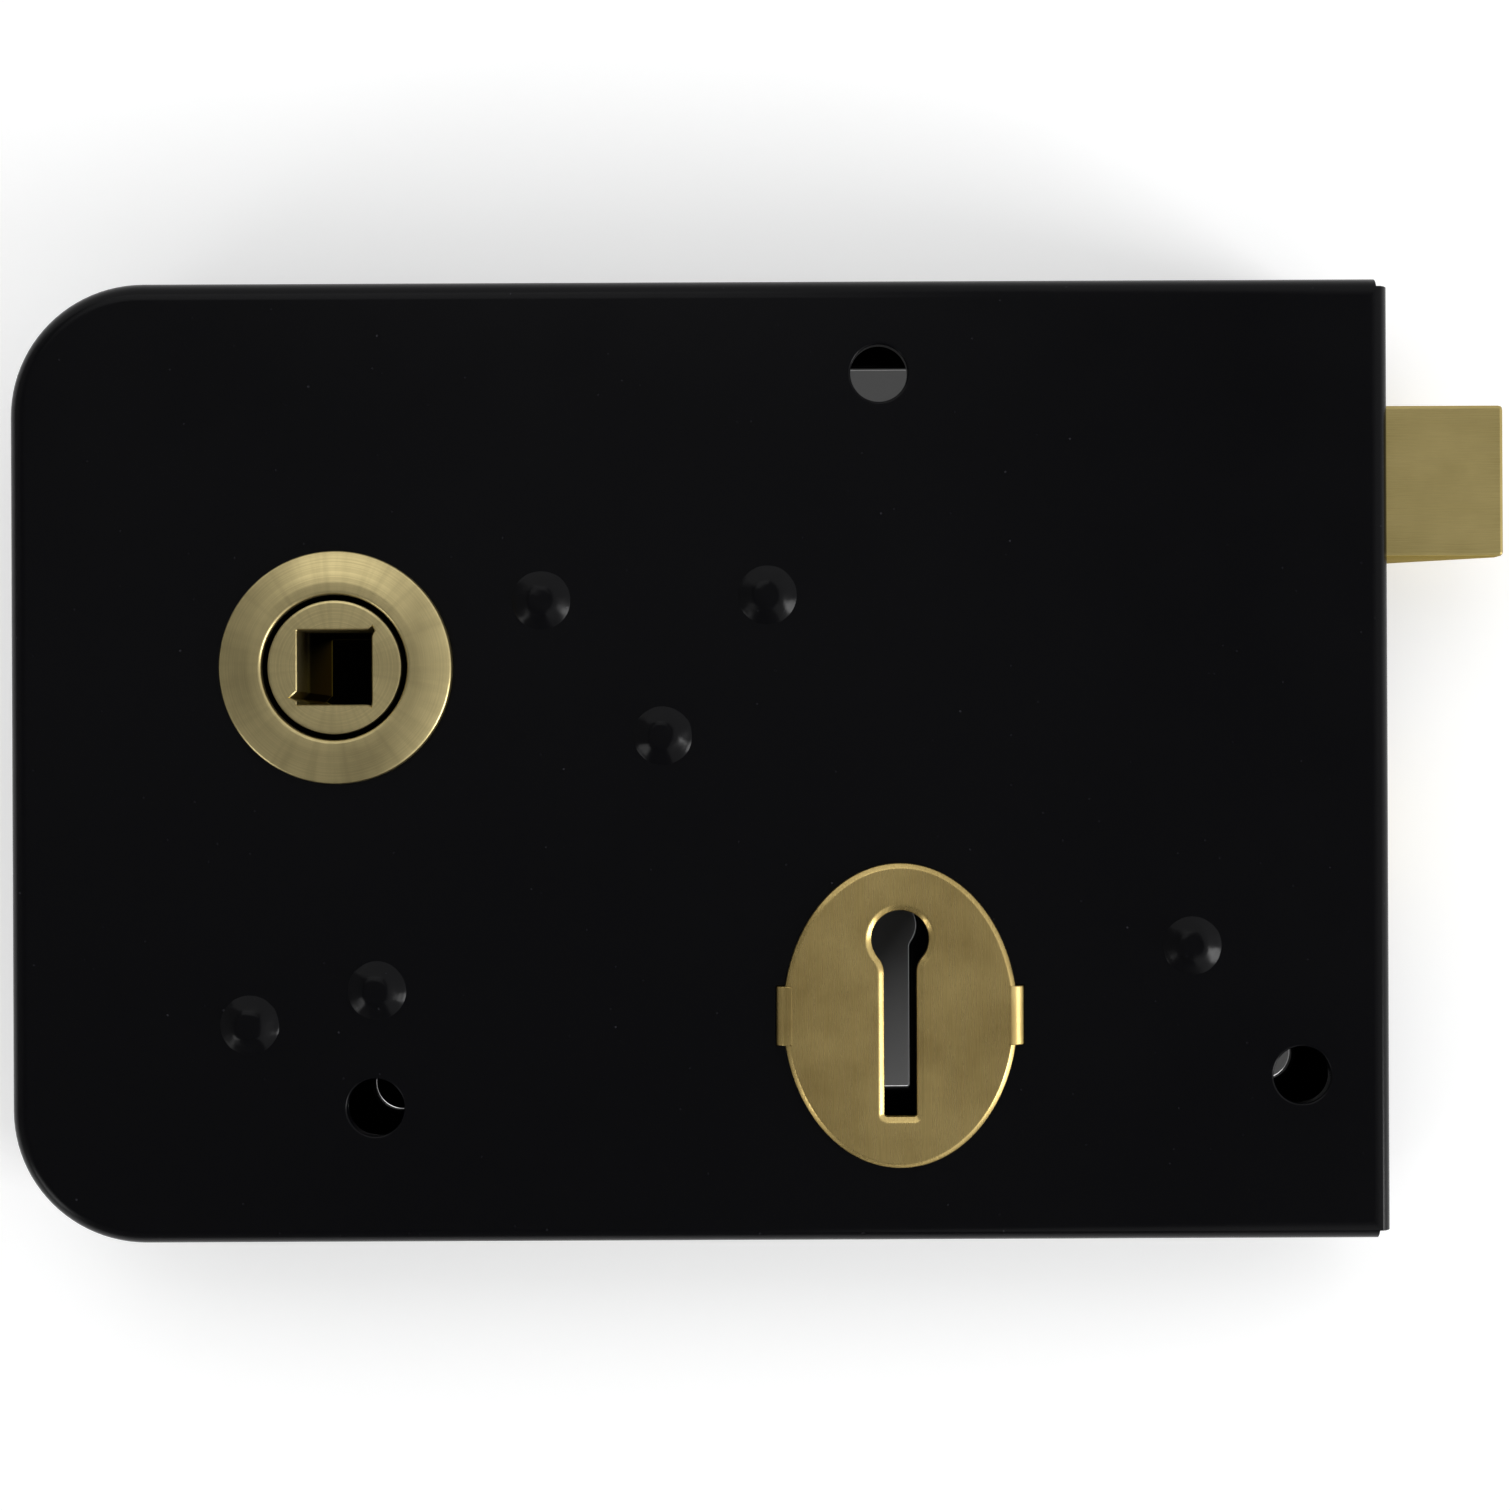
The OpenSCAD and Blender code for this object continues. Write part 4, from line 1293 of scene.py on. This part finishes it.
@dataclass
class Studio:
    """A white table under the lock, a window's soft light from the right, and the camera above the face."""

    reach: float = 275.0
    lens: float = 60.5
    sensor: float = 36.0
    clip: Flat = (0.01, 50.0)
    centre: Flat = (6.0, 0.65)
    roll: float = 0.25
    world_light: float = 0.8
    table_gap: float = 0.1
    near: float = 0.5
    shade_patch_soft: float = 0.1
    # Painted shadow of the camera: the table's glow fades out within these distances from the lock's middle, in
    # millimetres
    painted_camera_shadow: Flat = (30.0, 44.0)
    table: Patch = Patch((0.0, 0.0), (4000.0, 4000.0), "#f6f6f6", 0.2)
    # Painted shade under the lock: a grey board with a faint glow under the whole case, and black squares under
    # the spindle and the left fixing hole, where its shadow is deepest
    patches: tuple[Patch, ...] = (
        Patch((0.0, 0.0), (70.0, 47.0), "#b8b8b8", 0.06),
        Patch(SPINDLE, (14.0, 14.0), "#101010", 0.0),
        Patch(LEFT_FIX, (6.0, 6.0), "#101010", 0.0),
    )

    def build(self) -> None:
        """Sets the stage."""
        self.lay_table()
        self.flag("grey_curtain", (-0.5, -1.6, 0.0), 1.4, "#8c8c8c")
        self.flag("left_flag", (-1.6, -0.9, 0.0), 1.3, "#a0a0a0")
        self.flag("lower_flag", (-0.4, -0.9, -1.6), 1.1, "#909090")
        self.flag("camera_card", (-0.05, -0.32, -0.07), 0.15, "#989898", shades=True)
        self.lamp("window_light", (1.1, -0.4, -0.45), (0.5, 0.5), 9.0)
        self.lamp("side_light", (-0.9, -0.4, -0.7), (0.35, 0.35), 1.2)
        self.lamp("fill_light", (-0.3, -1.5, 0.8), (1.0, 1.0), 3.5)
        self.lamp("back_light", (0.3, 1.2, 0.6), (1.0, 1.0), 12.0)
        self.world()
        self.camera()

    def sheet(self, name: str, at: Vector, facing: Vector, half: Flat, made: Material) -> Piece:
        """Puts up a flat sheet as part of the stage.

        Args:
            name: the sheet's name.
            at: its middle, in metres.
            facing: the way that it faces.
            half: half its width and half its height, in metres.
            made: its material.

        Returns:
            The sheet.
        """
        turn = facing.to_track_quat("Z", "Y")
        signs = ((-1, -1), (1, -1), (1, 1), (-1, 1))
        corners = [turn @ Vector((x * half[0], z * half[1], 0.0)) + at for x, z in signs]
        mesh = bpy.data.meshes.new(name)
        mesh.from_pydata([tuple(c) for c in corners], [], [(0, 1, 2, 3)])
        mesh.materials.append(made)
        obj = put(name, mesh)
        return obj

    def seen(self, tree: Tree) -> Socket:
        """Finds the rays that show the background: straight, mirrored or through glass.

        Args:
            tree: the nodes.

        Returns:
            1 for such a ray, 0 for any other.
        """
        path = add_node(tree, "ShaderNodeLightPath", {}).node.outputs
        shown = path["Is Camera Ray"]
        for kind in ("Is Glossy Ray", "Is Transmission Ray"):
            shown = add_node(tree, MATH, (shown, path[kind]), operation="MAXIMUM")
        return shown

    def lay_table(self) -> None:
        """Lays the matt table behind the lock, painted darker under it as shade, where little light comes in.

        It shines a little where it is seen, so that white stays white, but its shine fades out towards the
        lock's middle as a painted shadow of the camera, which keeps the light off there. It is clear from below
        and close by, so that the lock's back can be looked at.
        """
        made, tree = new_material("table matt board")
        tree.nodes.remove(tree.nodes["Principled BSDF"])
        place = add_node(tree, "ShaderNodeTexCoord", {}, "Object")
        parts = add_node(tree, "ShaderNodeSeparateXYZ", (place,)).node.outputs
        colour, glow = linear(self.table.colour), self.table.shine()
        # Painted shade: grey and black patches darken the table and its glow under the lock
        for shade_patch in self.patches:
            ranges = zip("XZ", shade_patch.at, shade_patch.half)
            soft = self.shade_patch_soft
            sides = [band(tree, parts[axis], at - half, at + half, soft) for axis, at, half in ranges]
            in_painted_shade = add_node(tree, MATH, sides, operation="MINIMUM")
            colour, glow = [
                add_node(tree, MIX, {0: in_painted_shade, 6: old, 7: new}, 2, data_type="RGBA")
                for old, new in ((colour, linear(shade_patch.colour)), (glow, shade_patch.shine()))
            ]
        matt = add_node(tree, "ShaderNodeBsdfDiffuse", {"Color": colour})
        # Painted shadow of the camera: the glow fades out towards the lock's middle
        far = add_node(tree, VECTOR, (place,), "Value", operation="LENGTH")
        camera_shadow_fade = add_node(tree, RANGE, (far, self.painted_camera_shadow[0] * MM, self.painted_camera_shadow[1] * MM, 0.0, 1.0))
        shine = add_node(tree, "ShaderNodeEmission", {"Color": glow, "Strength": camera_shadow_fade})
        board = add_node(tree, "ShaderNodeAddShader", (matt, shine))
        behind = add_node(tree, "ShaderNodeNewGeometry", {}, "Backfacing")
        length = add_node(tree, "ShaderNodeLightPath", {}, "Ray Length")
        close = add_node(tree, MATH, (length, self.near * MM), operation="LESS_THAN")
        unseen = add_node(tree, MATH, (behind, close), operation="MAXIMUM")
        shown = add_node(tree, MATH, (self.seen(tree), unseen), operation="SUBTRACT", use_clamp=True)
        clear = add_node(tree, "ShaderNodeBsdfTransparent", {})
        mix = add_node(tree, "ShaderNodeMixShader", (shown, clear, board))
        feed(tree.nodes["Material Output"], {"Surface": mix})
        half = (self.table.half[0] * MM, self.table.half[1] * MM)
        at = on_face(*self.table.at, -self.table_gap)
        self.sheet("table_top", at, Vector((0.0, -1.0, 0.0)), half, made)

    def flag(self, name: str, at: Point, half: float, colour: str, shades: bool = False) -> None:
        """Puts up a cloth that the camera doesn't see, but that shows as a reflection.

        Args:
            name: the cloth's name.
            at: its middle, in metres.
            half: half its width, in metres.
            colour: its colour.
            shades: True where it also keeps light off, as a camera does that hangs over its subject.
        """
        made, tree = new_material(name + " cloth")
        feed(tree.nodes["Principled BSDF"], {"Base Color": linear(colour), "Roughness": 1.0})
        obj = self.sheet(name, Vector(at), -Vector(at), (half, half), made)
        obj.visible_camera = False
        obj.visible_diffuse = obj.visible_shadow = shades

    def lamp(self, name: str, at: Point, size: Flat, watts: float) -> None:
        """Hangs a soft light that is aimed at the lock.

        Args:
            name: the light's name.
            at: its middle, in metres.
            size: its width and height, in metres.
            watts: its power.
        """
        data = bpy.data.lights.new(name, "AREA")
        data.shape, data.energy = "RECTANGLE", watts
        data.size, data.size_y = size
        obj = put(name, data)
        obj.location = at
        obj.rotation_euler = (-Vector(at)).to_track_quat("-Z", "Y").to_euler()

    def world(self) -> None:
        """Even, weaker light from all round, and white where the background shows."""
        world = bpy.data.worlds.new("studio")
        bpy.context.scene.world = world
        world.use_nodes = True
        tree = world.node_tree
        strength = add_node(tree, RANGE, (self.seen(tree), 0.0, 1.0, self.world_light, 1.0))
        feed(tree.nodes["Background"], {"Strength": strength, "Color": linear("#ffffff")})

    def camera(self) -> None:
        """The photograph's view: near, square onto the face, and turned by a hair."""
        data = bpy.data.cameras.new("photo_view")
        data.lens, data.sensor_width = self.lens, self.sensor
        data.clip_start, data.clip_end = self.clip
        obj = put("photo_view", data)
        obj.location = on_face(*self.centre, CASE_D + self.reach)
        obj.rotation_euler = (math.pi / 2, math.radians(self.roll), 0.0)
        bpy.context.scene.camera = obj


def main() -> None:
    """Builds every sub-assembly, then the stage."""
    logging.basicConfig(level=logging.INFO, format="%(name)s: %(message)s")
    bpy.context.scene.view_settings.view_transform = "Standard"
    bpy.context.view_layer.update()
    parts = (Case(), RivetHeads(), SpindleBush(), Escutcheon(), Follower(), Latch(), DeadBolt())
    for part in parts:
        LOG.info("building %s", type(part).__name__)
        part.build()
    Studio().build()


if __name__ == "__main__":
    main()
